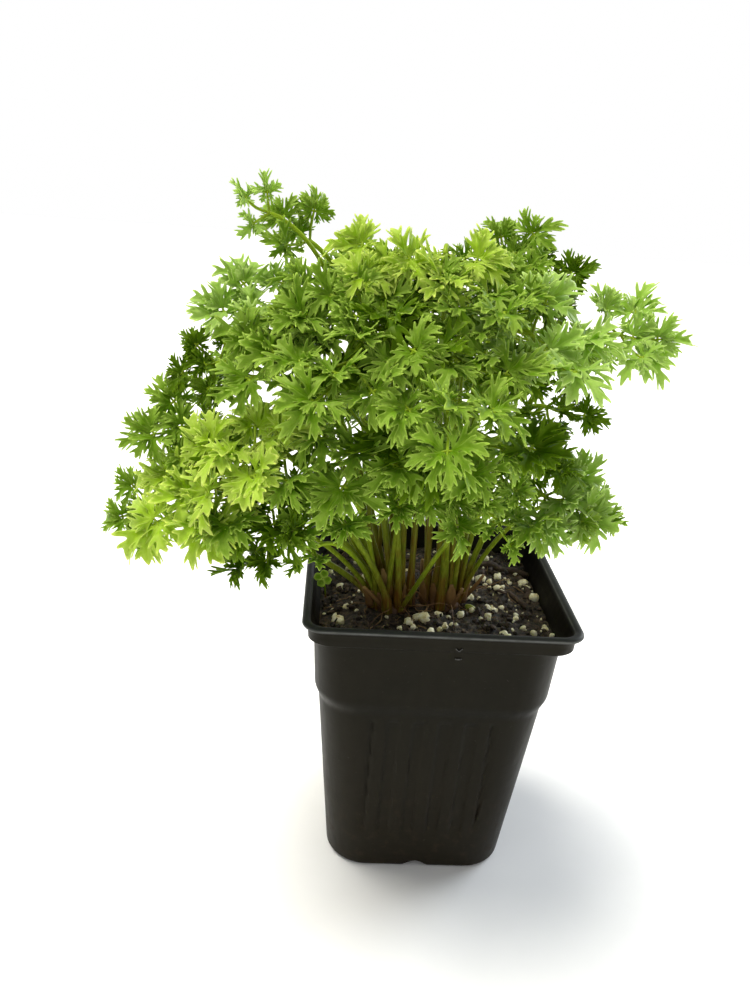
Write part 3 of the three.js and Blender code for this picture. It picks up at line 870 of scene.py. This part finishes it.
# crown, bearing (degrees from +X), reach, height, leaflet length, pairs of side leaflets,
# pitch (degrees, up is positive), roll (degrees about the midline), tone
LEAF_ROWS = [
    ("left", 176, 48, 260, 17, 1, 35, -50, "mid"),
    ("left", -135, 24, 260, 20, 1, -30, -20, "yellow"),
    ("right", -95, 20, 261, 21, 1, -40, 0, "yellow"),
    ("right", -10, 22, 258, 17, 1, 50, 60, "mid"),
    ("right", 5, 36, 249, 17, 1, 20, 55, "dark"),
    ("right", 2, 70, 234, 20, 1, -5, 45, "pale"),
    ("right", -52, 46, 238, 24, 1, -30, 15, "pale"),
    ("right", -72, 32, 250, 22, 1, -20, 0, "mid"),
    ("left", -140, 44, 247, 23, 1, -15, -20, "mid"),
    ("left", -168, 62, 238, 20, 1, -12, -30, "pale"),
    ("right", -92, 48, 234, 26, 2, -40, 0, "mid"),
    ("left", -122, 47, 239, 26, 2, -35, -10, "mid"),
    ("left", -146, 62, 229, 24, 1, -30, -20, "mid"),
    ("left", -172, 80, 217, 15, 1, -20, -50, "dark"),
    ("left", -168, 86, 196, 22, 1, -20, -45, "mid"),
    ("right", -14, 44, 208, 16, 1, -10, 50, "dark"),
    ("left", -156, 86, 178, 24, 1, -30, -30, "yellow"),
    ("left", 178, 106, 153, 18, 1, -20, -60, "mid"),
    ("left", -146, 76, 196, 24, 1, -40, -10, "yellow"),
    ("left", -148, 68, 176, 20, 1, -45, -20, "dark"),
    ("left", -118, 54, 204, 25, 1, -40, -10, "mid"),
    ("right", 78, 66, 194, 24, 1, -40, 0, "dark"),
    ("right", -84, 50, 210, 24, 1, -40, 0, "mid"),
    ("right", -30, 50, 178, 22, 1, -15, 35, "pale"),
    ("left", 152, 70, 212, 24, 2, -30, 0, "mid"),
    ("right", 106, 48, 240, 25, 2, -25, 0, "mid"),
    ("right", 50, 52, 228, 25, 2, -30, 0, "mid"),
    ("left", 124, 74, 178, 24, 2, -35, 0, "dark"),
]


class Leaf:
    """One leaf: where its stem ends, which way its blade points and faces, and how big it is."""

    def __init__(self, crown, bearing, reach, height, length, pairs, pitch, roll, tone):
        self.crown, self.bearing = crown, math.radians(bearing)
        self.reach, self.height = reach, height
        self.length, self.pairs, self.tone = length, pairs, tone
        out = Vector((math.cos(self.bearing), math.sin(self.bearing), 0))
        up = Vector((0, 0, 1))
        tilt = math.radians(pitch)
        self.hub = Vector((*PLANT_AXIS, height)) + out * reach
        self.forward = out * math.cos(tilt) + up * math.sin(tilt)
        face = up * math.cos(tilt) - out * math.sin(tilt)
        self.normal = Quaternion(self.forward, math.radians(roll)) @ face
        self.foot = None
        self.upright = 1.0

    def lean(self):
        return self.reach / (self.height - CROWN_TOP)

    def stem_path(self, steps):
        """The stem's cubic curve, nearly upright at first and along the midline at its end."""
        span = self.hub - self.foot
        flat = Vector((span.x, span.y, 0))
        straight = max(STRAIGHT_SHARE * span.z, STRAIGHT_LEAST) * self.upright
        start = self.foot + Vector((0, 0, straight)) + flat * FOOT_DRIFT
        end = self.hub - self.forward * TOP_PULL * span.length - flat * TOP_DRIFT
        path = []
        for step in range(steps + 1):
            t = step / steps
            low = self.foot * (1 - t) ** 3 + start * 3 * t * (1 - t) ** 2
            path.append(low + end * 3 * t * t * (1 - t) + self.hub * t ** 3)
        return path


def plant_stems(leaves):
    """The stems that lean most take the outermost free place on the side that they lean to."""
    for crown, place in CROWNS.items():
        free = []
        for k in range(STEM_SLOTS):
            radius, angle = SLOT_SPREAD * math.sqrt(k + 0.4), k * GOLDEN_ANGLE
            free.append(place + radius * Vector((math.cos(angle), math.sin(angle))))
        for leaf in sorted((x for x in leaves if x.crown == crown), key=lambda x: -x.lean()):
            toward = Vector((math.cos(leaf.bearing), math.sin(leaf.bearing)))
            best = max(free, key=lambda slot: (slot - place).dot(toward))
            free.remove(best)
            leaf.foot = Vector((*best, CROWN_TOP + 0.6))


LEAVES = [Leaf(*row) for row in LEAF_ROWS]
plant_stems(LEAVES)

# -------- crowns

CROWN_PROFILE = [  # height, and share of the crown's radius
    (104, 0.5), (110, 0.7), (114, 0.86), (117, 0.98),
    (119, 0.98), (120.5, 0.86), (121.3, 0.62), (121, 0.35),
]
CROWN_BASES, CROWN_SIDES = 11, 72


def make_crown(name, place, seed):
    """A root crown: a knobbly dome made of the clasping feet of old and new stems."""
    rng = random.Random(seed)
    shape = Shape()
    rings = []
    bumps = [rng.uniform(0.86, 1.04) for _ in range(CROWN_BASES)]
    for z, share in CROWN_PROFILE:
        ring = []
        for k in range(CROWN_SIDES):
            angle = FULL_TURN * k / CROWN_SIDES
            lobe = angle / FULL_TURN * CROWN_BASES
            near = bumps[int(lobe) % CROWN_BASES]
            crease = abs(math.sin(lobe * math.pi)) ** 0.5
            radius = CROWN_RADIUS * share * near * (0.84 + 0.16 * crease)
            spot = Vector((place.x + radius * math.cos(angle), place.y + radius * math.sin(angle), z))
            ring.append(shape.vertex(spot + Vector((0, 0, 0.5 * noise.noise(spot / 2.5)))))
        rings.append(ring)
    shape.skin(rings)
    shape.face(rings[0][::-1])
    shape.face(rings[-1])
    make_piece("crown_" + name + "_bases", shape, [CROWN], ["crown_" + name])


for seed, (name, place) in enumerate(CROWNS.items()):
    make_crown(name, place, SEEDS["crown"] + seed)

# -------- stems

STEM_STEPS, STEM_SIDES = 34, 14
STEM_RIBS = 0.05  # depth of a stem's ribs, as a share of its radius
STEM_RADII, STEM_CLASP = (1.35, 0.85), 0.9
STEM_SUNK, STEM_WOBBLE = 3, 0.12


def stem_radius(share):
    """Wide where it clasps the crown, then an even taper."""
    clasp = STEM_CLASP * (1 - smoothstep(0.0, 0.09, share))
    return lerp(*STEM_RADII, share) + clasp


def make_stem(number, leaf):
    rng = random.Random(SEEDS["stem"] + number)
    path = leaf.stem_path(STEM_STEPS)
    path[0] = path[0] - Vector((0, 0, STEM_SUNK))
    for i in range(2, STEM_STEPS - 1):
        wobble = [rng.uniform(-STEM_WOBBLE, STEM_WOBBLE) for _ in range(2)]
        path[i] = path[i] + Vector((*wobble, 0))
    radii = [stem_radius(i / STEM_STEPS) for i in range(STEM_STEPS + 1)]
    shape = Shape()
    shape.tube(path, radii, STEM_SIDES, ribs=STEM_RIBS)
    name = f"stem_{number:02d}"
    make_piece(name + "_ribbed", shape, [STEM], [name])


for number, leaf in enumerate(LEAVES, 1):
    make_stem(number, leaf)

# -------- leaves

# Rows along a lobe, from its base to its tip: place and half width, as shares of its length.
LOBE_ROWS = [
    (0.12, 0.036), (0.26, 0.060), (0.36, 0.096), (0.46, 0.132), (0.56, 0.118),
    (0.66, 0.096), (0.74, 0.106), (0.83, 0.106), (0.94, 0.084),
]
LOBE_TIP = 1.09
# Teeth on each side of a lobe: the rows that it starts and ends at, and where its point is.
LOBE_TEETH = [(2, 4, 0.79, 0.34), (5, 7, 1.02, 0.235)]
TOOTH_ROWS = [(first + last) // 2 for first, last, _, _ in LOBE_TEETH]
TOOTH_WAIST, TOOTH_TAPER = 0.72, 1.0  # how far out a tooth's waist is, and how wide it is there
LEAFLET_THICKNESS, SHEATH_THICKNESS = 0.26, 0.3


class Lobe:
    """One finger of a leaflet, which rises, bends and twists by itself."""

    def __init__(self, angle, size, width, rng):
        self.angle, self.size, self.width = angle, size, width
        self.lift = rng.uniform(0.05, 0.7)
        self.bend = rng.uniform(0.15, 0.95)
        self.sweep = rng.uniform(-0.25, 0.25)
        self.twist = rng.uniform(-0.5, 0.5)
        self.fold = rng.uniform(0.5, 1.0)

    def rise(self, share):
        return self.size * (self.lift * share - self.bend * share * share)

    def point(self, share, across):
        """A point of the lobe in the leaflet's plane, and its height over it."""
        turned = self.angle + self.sweep * share * share
        out, off = share * self.size, across * self.size * self.width
        x = out * math.sin(turned) + off * math.cos(turned)
        y = out * math.cos(turned) - off * math.sin(turned)
        return x, y, self.rise(share) + self.fold * abs(off) + self.twist * off * share


WEBBED_ROWS = 2  # this many rows of a lobe are joined to its neighbours
OUTER_WEB = 0.3  # radians that the web reaches past the outer lobes


def add_leaflet(shape, base, forward, normal, length, lobe_count, fan, rng, width):
    """A leaflet cut into toothed lobes that spread from its base like fingers.

    Near the base, neighbouring lobes share their edge, which is the web between them."""
    side = forward.cross(normal)
    lobes = []
    for i in range(lobe_count):
        angle = lerp(-fan, fan, i / (lobe_count - 1)) + rng.gauss(0, 0.07)
        size = (1 - 0.4 * (abs(angle) / fan) ** 1.5) * rng.uniform(0.85, 1.1)
        lobes.append(Lobe(angle, size, width * rng.uniform(0.85, 1.15), rng))

    def place(local):
        x, y, z = local
        return base + length * (side * x + forward * y + normal * z)

    hub = shape.vertex(base, 0.0, 0.0)
    webs = {}
    for i in range(lobe_count + 1):
        near = [lobes[k] for k in (i - 1, i) if 0 <= k < lobe_count]
        outward = {0: -OUTER_WEB, lobe_count: OUTER_WEB}.get(i, 0.0)
        angle = sum(lobe.angle for lobe in near) / len(near) + outward
        for row in range(WEBBED_ROWS):
            share = LOBE_ROWS[row][0]
            reach = share * sum(lobe.size for lobe in near) / len(near)
            rise = sum(lobe.rise(share) for lobe in near) / len(near) + 0.02
            spot = (reach * math.sin(angle), reach * math.cos(angle), rise)
            webs[i, row] = shape.vertex(place(spot), share, 1.0)
    for i, lobe in enumerate(lobes):
        rows = []
        for row, (share, half) in enumerate(LOBE_ROWS):
            middle = shape.vertex(place(lobe.point(share, 0)), share, 0.0)
            if row < WEBBED_ROWS:
                edges = [webs[i, row], webs[i + 1, row]]
            else:
                rim = 0.6 if row in TOOTH_ROWS else 1.0
                spots = [place(lobe.point(share, way * half)) for way in (-1, 1)]
                edges = [shape.vertex(spot, share, rim) for spot in spots]
            rows.append((edges[0], middle, edges[1]))
        for k in (0, 1):
            shape.face((hub, rows[0][k + 1], rows[0][k]))
        shape.skin(rows, BLADE, closed=False)
        tip = shape.vertex(place(lobe.point(LOBE_TIP, 0)), 1.0, 1.0)
        shape.face((*rows[-1], tip))
        for tooth in LOBE_TEETH:
            for way in (-1, 1):
                add_tooth(shape, lobe, place, rows, tooth, way, rng.uniform(0.8, 1.2))


def add_tooth(shape, lobe, place, rows, tooth, way, grown):
    """A pointed finger on one side of a lobe, with a waist between its base and its point."""
    first, last, share, across = tooth
    root = Vector(LOBE_ROWS[(first + last) // 2])
    point = root.lerp(Vector((share, across)), grown)
    waist = []
    for row in range(first, last + 1):
        spot = root.lerp(point, TOOTH_WAIST) + (Vector(LOBE_ROWS[row]) - root) * TOOTH_TAPER
        rim = 1.0 if row in (first, last) else 0.5
        waist.append(shape.vertex(place(lobe.point(spot.x, way * spot.y)), spot.x, rim))
    tip = shape.vertex(place(lobe.point(point.x, way * point.y)), 1.0, 1.0)
    base = [rows[row][1 + way] for row in range(first, last + 1)]
    corners = [(base[k], waist[k], waist[k + 1], base[k + 1]) for k in range(last - first)]
    corners.append((waist[0], tip, waist[2], waist[1]))
    for face in corners:
        shape.face(face if way == 1 else face[::-1])


def square_to(vector, direction):
    """The part of a vector that is square to a direction, with length 1."""
    return (vector - direction * vector.dot(direction)).normalized()


# Leaflets of a rosette: turn from its midline in degrees, how far out its base is, size,
# and how far it is tipped up toward the middle, in radians.
ROSETTE = [(0, 0.14, 1.0, 0.0), (78, 0.10, 0.88, 0.3), (-78, 0.10, 0.88, 0.3)]
LOBES_PER_LEAFLET = 5
LEAFLET_FAN = 82  # degrees to each side
LOBES_PER_SPRIG_LEAFLET = 3
SPRIG_WIDTH = 1.4  # sprigs have this much wider lobes
TINY_STALK, THIN_STALK, MAIN_STALK = (0.4, 0.36, 0.3), (0.5, 0.45, 0.4), (0.85, 0.75, 0.65)  # radii


def add_rosette(shape, hub, forward, normal, size, rng, width):
    """Three leaflets that grow from nearly one place, overlap and form a shallow bowl."""
    lobes = LOBES_PER_LEAFLET if width < SPRIG_WIDTH else LOBES_PER_SPRIG_LEAFLET
    for degrees, out, share, cup in ROSETTE:
        turned = Quaternion(normal, math.radians(degrees + rng.uniform(-8, 8))) @ forward
        base = hub + turned * out * size + normal * rng.uniform(-0.05, 0.05) * size
        axis = turned.cross(normal).normalized()
        tipped = Quaternion(axis, cup + rng.uniform(-0.25, 0.25))
        lean = Quaternion(turned, rng.uniform(-0.3, 0.3))
        ahead = (tipped @ turned).normalized()
        face = square_to(tipped @ lean @ normal, ahead)
        path = [hub, (hub + base) / 2, base + ahead * 0.6]
        shape.tube(path, TINY_STALK, 6, STALK, span=(0.8, 1.0))
        fan = math.radians(LEAFLET_FAN)
        add_leaflet(shape, base, ahead, face, size * share, lobes, fan, rng, width)


STALK_SAG = 0.2  # share of a stalk's length
UPPER_STEM = (0.7, 1.0)  # stalks take the colours of this part of a stem


def add_branch(shape, origin, hub, normal, size, rng, width):
    """A thin stalk with a rosette at its end, tilted a little to one side."""
    outward = (hub - origin).normalized()
    lift = Quaternion(outward.cross(normal).normalized(), rng.uniform(-0.3, 0.2))
    lean = Quaternion(outward, rng.uniform(-0.4, 0.4))
    forward = (lift @ outward).normalized()
    face = square_to(lift @ lean @ normal, forward)
    middle = (origin + hub) / 2 - face * (hub - origin).length * STALK_SAG
    shape.tube([origin, middle, hub], THIN_STALK, 8, STALK, span=UPPER_STEM)
    add_rosette(shape, hub, forward, face, size, rng, width)


# Rosettes of a leaf: distance along the midline, angle from it in degrees, stalk and size,
# all but the angle as shares of the leaf's length.
ONE_PAIR = [
    (0.0, 0, 0.80, 0.52), (0.0, 60, 0.60, 0.50), (0.0, -60, 0.60, 0.50),
    (0.0, 0, 0.26, 0.48), (-0.05, 127, 0.46, 0.44), (-0.05, -127, 0.46, 0.44),
]
TWO_PAIRS = [
    (0.75, 0, 0.74, 0.50), (0.62, 55, 0.55, 0.48), (0.62, -55, 0.55, 0.48),
    (0.0, 66, 0.72, 0.48), (0.0, -66, 0.72, 0.48), (0.0, 128, 0.46, 0.42), (0.0, -128, 0.46, 0.42),
    (0.75, 0, 0.20, 0.46), (0.20, 0, 0.14, 0.46),
]
BROAD_TONES = ("yellow", "pale")
BROAD_WIDTH, BROAD_SIZE = 1.15, 1.12  # how much wider and longer the lobes of pale leaves are
TOP_HEIGHT = 255  # leaves above this have no back rosettes, which would stand above the plant
SPRIG_LENGTH = 12  # leaves up to this length have only their three end leaflets


def leaf_look(leaf):
    """The width and length of a leaf's lobes, as shares of the usual ones, and its rosettes."""
    if leaf.length <= SPRIG_LENGTH:
        return SPRIG_WIDTH, 1.0, ONE_PAIR[:3]
    layout = ONE_PAIR if leaf.pairs == 1 else TWO_PAIRS
    if leaf.height > TOP_HEIGHT:
        layout = ONE_PAIR[:4]
    return (BROAD_WIDTH, BROAD_SIZE, layout) if leaf.tone in BROAD_TONES else (1.0, 1.0, layout)


def add_blade(shape, leaf, rng, least_reach, apart):
    """The rosettes of a leaf, each on its stalk. Unless apart, all stalks start at one place."""
    width, scale, layout = leaf_look(leaf)
    for along, degrees, stalk, size in layout:
        outward = Quaternion(leaf.normal, math.radians(degrees)) @ leaf.forward
        start = leaf.hub + leaf.forward * leaf.length * along if apart else leaf.hub
        reach = leaf.length * stalk * rng.uniform(least_reach, 1.1)
        hub = start + outward * reach + leaf.normal * leaf.length * rng.uniform(-0.06, 0.2)
        add_branch(shape, start, hub, leaf.normal, leaf.length * size * scale, rng, width)


def make_leaf(number, leaf):
    rng = random.Random(SEEDS["leaf"] + number)
    shape = Shape()
    if leaf.pairs == 2:
        far = leaf.hub + leaf.forward * leaf.length * TWO_PAIRS[0][0]
        middle = (leaf.hub + far) / 2 + leaf.normal * 0.4
        shape.tube([leaf.hub, middle, far], MAIN_STALK, 8, STALK, span=UPPER_STEM)
    add_blade(shape, leaf, rng, least_reach=0.9, apart=True)
    name = f"leaf_{number:02d}"
    finish_leaf(make_piece(name + "_blade", shape, [LEAVES_BY_TONE[leaf.tone], STEM], [name]))


def round_off(piece):
    rounded = piece.modifiers.new("rounded", "SUBSURF")
    rounded.levels = rounded.render_levels = 1


def thicken(piece, thickness):
    thick = piece.modifiers.new("thick", "SOLIDIFY")
    thick.thickness = thickness * MM
    thick.offset = 0


def finish_leaf(piece):
    """Rounds the lobes and gives the blade its real thickness."""
    round_off(piece)
    thicken(piece, LEAFLET_THICKNESS)


for number, leaf in enumerate(LEAVES, 1):
    make_leaf(number, leaf)

# -------- lower leaflets, on the stems

LOWER_BRANCH = 0.84  # share of the stem's length
# Lower leaflets take a darker tone than their leaf: painted shade under the canopy.
LOWER_TONES = {"pale": "mid", "yellow": "mid", "mid": "dark", "dark": "dark"}


def make_lower_pair(number, leaf):
    """The lower pair of a leaf: a stalk to each side of its stem, with a rosette at its end."""
    rng = random.Random(SEEDS["lower_pair"] + number)
    shape = Shape()
    path = leaf.stem_path(STEM_STEPS)
    step = int(LOWER_BRANCH * STEM_STEPS)
    origin = path[step]
    along = (path[step + 1] - path[step]).normalized()
    across = square_to(Vector((-leaf.forward.y, leaf.forward.x, 0)), along)
    for way in (-1, 1):
        outward = (across * way + along * 0.25 + leaf.forward * 0.4).normalized()
        hub = origin + outward * leaf.length * rng.uniform(0.8, 1.1)
        hub.z = min(hub.z, leaf.hub.z - 5)
        normal = (leaf.normal + outward * 0.4 + Vector((0, 0, 0.4))).normalized()
        add_branch(shape, origin, hub, normal, leaf.length * rng.uniform(0.5, 0.6), rng, 1.0)
    green = LEAVES_BY_TONE[LOWER_TONES[leaf.tone]]
    finish_leaf(make_piece(f"lower_pair_{number:02d}", shape, [green, STEM]))


SPARSE_LEAVES = (1, 5, 6, 14, 16, 18, 22)  # sprigs that show no lower pair
for number, leaf in enumerate(LEAVES, 1):
    if number not in SPARSE_LEAVES:
        make_lower_pair(number, leaf)

# -------- small leaves between the others

# The same columns as LEAF_ROWS.
SMALL_LEAF_ROWS = [
    ("left", -178, 62, 269, 12, 1, 20, -50, "pale"),
    ("left", -131, 54, 178, 20, 1, -35, -5, "mid"),
    ("left", -153, 66, 158, 18, 1, -60, -10, "dark"),
    ("left", -139, 54, 157, 11, 1, -25, 0, "mid"),
    ("left", -104, 42, 190, 16, 1, -45, 0, "mid"),
    ("right", -84, 46, 188, 19, 1, -45, 0, "mid"),
    ("right", -34, 44, 192, 16, 1, -20, 20, "dark"),
    ("right", -62, 44, 194, 16, 1, -40, 0, "mid"),
    ("right", -26, 61, 175, 15, 1, -15, 30, "mid"),
    ("left", 100, 60, 205, 22, 1, -30, 0, "mid"),
    ("left", 143, 56, 190, 21, 1, -35, 0, "dark"),
    ("left", 166, 70, 176, 20, 1, -35, 0, "mid"),
    ("right", 72, 76, 164, 20, 1, -35, 0, "mid"),
    ("right", 60, 60, 204, 22, 1, -30, 0, "mid"),
    ("right", 46, 74, 170, 19, 1, -35, 0, "dark"),
    ("right", 86, 54, 226, 22, 1, -25, 0, "pale"),
    ("left", 128, 40, 248, 20, 1, -20, 0, "mid"),
    ("right", 58, 38, 250, 20, 1, -20, 0, "mid"),
    ("left", -60, 47, 174, 12, 1, -35, 0, "mid"),
]
RUNNER = 19  # the leaf whose stem leaves its crown at a low angle
RUNNER_UPRIGHT = 0.25
SMALL_STEM_RADII = (1.0, 0.65)


def make_small_leaf(number, leaf):
    """A younger leaf with a thin stem of its own, which starts at the side of its crown."""
    rng = random.Random(SEEDS["small_leaf"] + number)
    toward = Vector((math.cos(leaf.bearing), math.sin(leaf.bearing)))
    start = CROWNS[leaf.crown] + toward * rng.uniform(6, 8.5)
    leaf.foot = Vector((*start, CROWN_TOP - 3))
    shape = Shape()
    path = leaf.stem_path(STEM_STEPS)
    radii = [lerp(*SMALL_STEM_RADII, i / STEM_STEPS) for i in range(STEM_STEPS + 1)]
    shape.tube(path, radii, 10, STALK, ribs=STEM_RIBS)
    add_blade(shape, leaf, rng, least_reach=0.85, apart=False)
    green = LEAVES_BY_TONE[leaf.tone]
    finish_leaf(make_piece(f"small_leaf_{number:02d}", shape, [green, STEM]))


for number, row in enumerate(SMALL_LEAF_ROWS, 1):
    leaf = Leaf(*row)
    leaf.upright = RUNNER_UPRIGHT if number == RUNNER else 1.0
    make_small_leaf(number, leaf)

# -------- round the crowns

SHEATH_HEIGHTS = (5, 8, 11, 15, 20)
SHEATH_SPREAD = 1.35  # radians to each side, at the foot


def make_sheaths():
    """Papery brown leaf bases that clasp the feet of the outer stems."""
    rng = random.Random(SEEDS["sheaths"])
    shape = Shape()
    columns, levels = 6, 7
    for leaf in LEAVES:
        centre = CROWNS[leaf.crown]
        off = Vector(leaf.foot[:2]) - centre
        if off.length < 3.5 or rng.random() < 0.35:
            continue
        tall = rng.choice(SHEATH_HEIGHTS) * rng.uniform(0.85, 1.15)
        facing = math.atan2(off.y, off.x) + rng.uniform(-0.4, 0.4)
        path = leaf.stem_path(STEM_STEPS)
        grid = []
        for level in range(levels + 1):
            share = level / levels
            rise = share * tall
            step = min(int(rise / 3), STEM_STEPS - 1)
            middle = path[step].lerp(path[step + 1], 0.5)
            line = []
            for column in range(columns + 1):
                spread = lerp(-SHEATH_SPREAD, SHEATH_SPREAD, column / columns)
                spread *= 1 - 0.8 * share * share
                radius = 2.4 - 0.5 * share + 0.7 * abs(spread) * share + rng.uniform(-0.2, 0.2)
                angle = facing + spread
                line.append(shape.vertex((
                    middle.x + radius * math.cos(angle), middle.y + radius * math.sin(angle),
                    leaf.foot.z - 2.5 + rise,
                ), share, 0.5))
            grid.append(line)
        shape.skin(grid, closed=False)
    piece = make_piece("leaf_sheaths", shape, [CROWN])
    round_off(piece)
    thicken(piece, SHEATH_THICKNESS)


def wander(start, heading, length, steps, turn, rng, drop=0.0):
    """A path that changes its heading a little at every step."""
    path, heading = [Vector(start)], Vector(heading).normalized()
    for _ in range(steps):
        heading = (heading + rng_unit(rng) * turn + Vector((0, 0, -drop))).normalized()
        path.append(path[-1] + heading * length / steps)
    return path


DRY_THREADS, THREAD_STEPS, STUB_STEPS = 11, 12, 8
STUBS = [  # start, heading, length and radius
    ((-20, -21, 117), (-0.75, -0.25, 1.0), 17, 0.95), ((6, -16, 117), (0.45, -0.2, 1.0), 12, 1.0),
    ((12, -8, 117), (0.8, -0.1, 1.0), 16, 0.85),
]


def make_dry_bits():
    """Dry threads and cut stubs left from old stems."""
    rng = random.Random(SEEDS["dry_bits"])
    shape = Shape()
    thread_radii = [lerp(0.28, 0.12, i / THREAD_STEPS) for i in range(THREAD_STEPS + 1)]
    for place in CROWNS.values():
        for _ in range(DRY_THREADS):
            angle = rng.uniform(0, FULL_TURN)
            out = Vector((math.cos(angle), math.sin(angle), 0))
            start = Vector((*place, 119)) + out * rng.uniform(4, 9)
            heading = out + Vector((0, 0, rng.uniform(0.4, 2.2)))
            path = wander(start, heading, rng.uniform(9, 24), THREAD_STEPS, 0.3, rng, drop=0.06)
            shape.tube(path, thread_radii, 6)
    for start, heading, length, radius in STUBS:
        path = wander(start, heading, length, STUB_STEPS, 0.06, rng)
        radii = [radius * lerp(1.3, 0.7, i / STUB_STEPS) for i in range(STUB_STEPS + 1)]
        shape.tube(path, radii, 12, ribs=0.08)
    make_piece("dry_stubs", shape, [CROWN])


ROOTS, SHORT_FIBRES = 16, 70


def add_fibre(shape, path, lift, radius):
    """A thread laid on the soil along a path, without the part of it that lies past the wall."""
    lifted = [Vector((p.x, p.y, soil_height(p.x, p.y) + lift(i))) for i, p in enumerate(path)]
    corner = BODY_CORNER - WALL
    inside = [p for p in lifted if inside_square(p.x, p.y, soil_half(SOIL_EDGE), corner) > 1]
    if len(inside) > 3:
        shape.tube(inside, [radius] * len(inside), 6)


def make_roots():
    """Long pale roots that creep away from the crowns, and short fibres everywhere."""
    rng = random.Random(SEEDS["fibres"])
    shape = Shape()
    for _ in range(ROOTS):
        place = rng.choice(list(CROWNS.values()))
        angle = rng.uniform(0, FULL_TURN)
        reach = rng.uniform(10, 26)
        path = wander((*place, 0), (math.cos(angle), math.sin(angle), 0), reach + 8, 16, 0.35, rng)
        add_fibre(shape, path, lambda i: 0.5 + 0.5 * math.sin(i), 0.24)
    for _ in range(SHORT_FIBRES):
        x, y = soil_spots(rng, 1, 0.3)[0]
        heading = (rng.uniform(-1, 1), rng.uniform(-1, 1), 0)
        path = wander((x, y, 0), heading, rng.uniform(3, 9), 7, 0.5, rng)
        add_fibre(shape, path, lambda i: 0.6, 0.2)
    make_piece("soil_fibres", shape, [FIBRE])


TWIGS = [  # start, heading, length and radius
    ((22, 28, 118), (1, -0.35, 0.02), 26, 1.7), ((30, 4, 118), (0.6, -1, 0.02), 17, 1.2),
    ((-40, -2, 118), (0.4, 1, 0.0), 15, 1.1),
]
FEED_GRAINS = [(14.8, -16, 2.3), (20, -46, 1.3), (-36, -36, 1.0), (33, 20, 1.2)]  # place and size


def make_twigs_and_grains():
    """The bark-covered twigs and the green feed grains that lie on the soil."""
    rng = random.Random(SEEDS["twigs"])
    shape = Shape()
    for start, heading, length, radius in TWIGS:
        path = wander(start, heading, length, 10, 0.1, rng)
        path = [Vector((p.x, p.y, soil_height(p.x, p.y) + radius * 0.5)) for p in path]
        shape.tube(path, [radius * rng.uniform(0.75, 1.1) for _ in path], 10, ribs=0.12)
    make_piece("bark_twigs", shape, [BARK])
    grains = Shape()
    turn = Quaternion((0, 0, 1), -0.5)
    for x, y, size in FEED_GRAINS:
        axes = (size, size * 0.55, size * 0.5)
        grains.lump(Vector((x, y, soil_height(x, y) + size * 0.4)), axes, rng, 0.06, 3, turn)
    make_piece("feed_grains", grains, [GRAIN])


SEEDLING_PLACE = Vector((-45.5, -12, 118))
PETAL_RADIUS, PETAL_PLACE = 1.9, 2.1  # its size, and how far its middle is from the stalk's end
PETAL_RINGS, PETAL_SIDES = 4, 14


def petal_reach(angle):
    """The outline of a round leaflet, with a notch at its outer end."""
    off = angle if angle < math.pi else angle - FULL_TURN
    return PETAL_RADIUS * (1 - 0.28 * math.exp(-(off / 0.3) ** 2))


def make_seedling():
    """A tiny clover-like seedling at the left wall: round leaflets on a thread of a stalk."""
    rng = random.Random(SEEDS["seedling"])
    shape = Shape()
    top = SEEDLING_PLACE + Vector((-1.5, 1, 8))
    middle = SEEDLING_PLACE.lerp(top, 0.5) + Vector((0.6, 0, 0))
    shape.tube([SEEDLING_PLACE, middle, top], (0.35, 0.3, 0.25), 8, STALK)
    normal = Vector((0.05, -0.75, 0.65)).normalized()
    forward = square_to(Vector((0, 0, 1)), normal)
    side = forward.cross(normal)
    angles = [FULL_TURN * i / PETAL_SIDES for i in range(PETAL_SIDES)]
    for k in range(4):
        turned = math.radians(25 + 90 * k + rng.uniform(-10, 10))
        outward = forward * math.cos(turned) + side * math.sin(turned)
        square = outward.cross(normal)
        centre = top + outward * PETAL_PLACE
        middle = shape.vertex(centre, 0.3, 0.0)
        rings = []
        for ring in range(1, PETAL_RINGS + 1):
            share = ring / PETAL_RINGS
            row = []
            for angle in angles:
                reach = petal_reach(angle) * share
                spot = centre + outward * reach * math.cos(angle) + square * reach * 0.9 * math.sin(angle)
                row.append(shape.vertex(spot + normal * 0.5 * share * share, share, share))
            rings.append(row)
        for i in range(PETAL_SIDES):
            shape.face((middle, rings[0][i], rings[0][(i + 1) % PETAL_SIDES]))
        shape.skin(rings)
    finish_leaf(make_piece("seedling", shape, [LEAVES_BY_TONE["mid"], STEM]))


make_sheaths()
make_dry_bits()
make_roots()
make_twigs_and_grains()
make_seedling()

# -------- final update

bpy.context.view_layer.update()
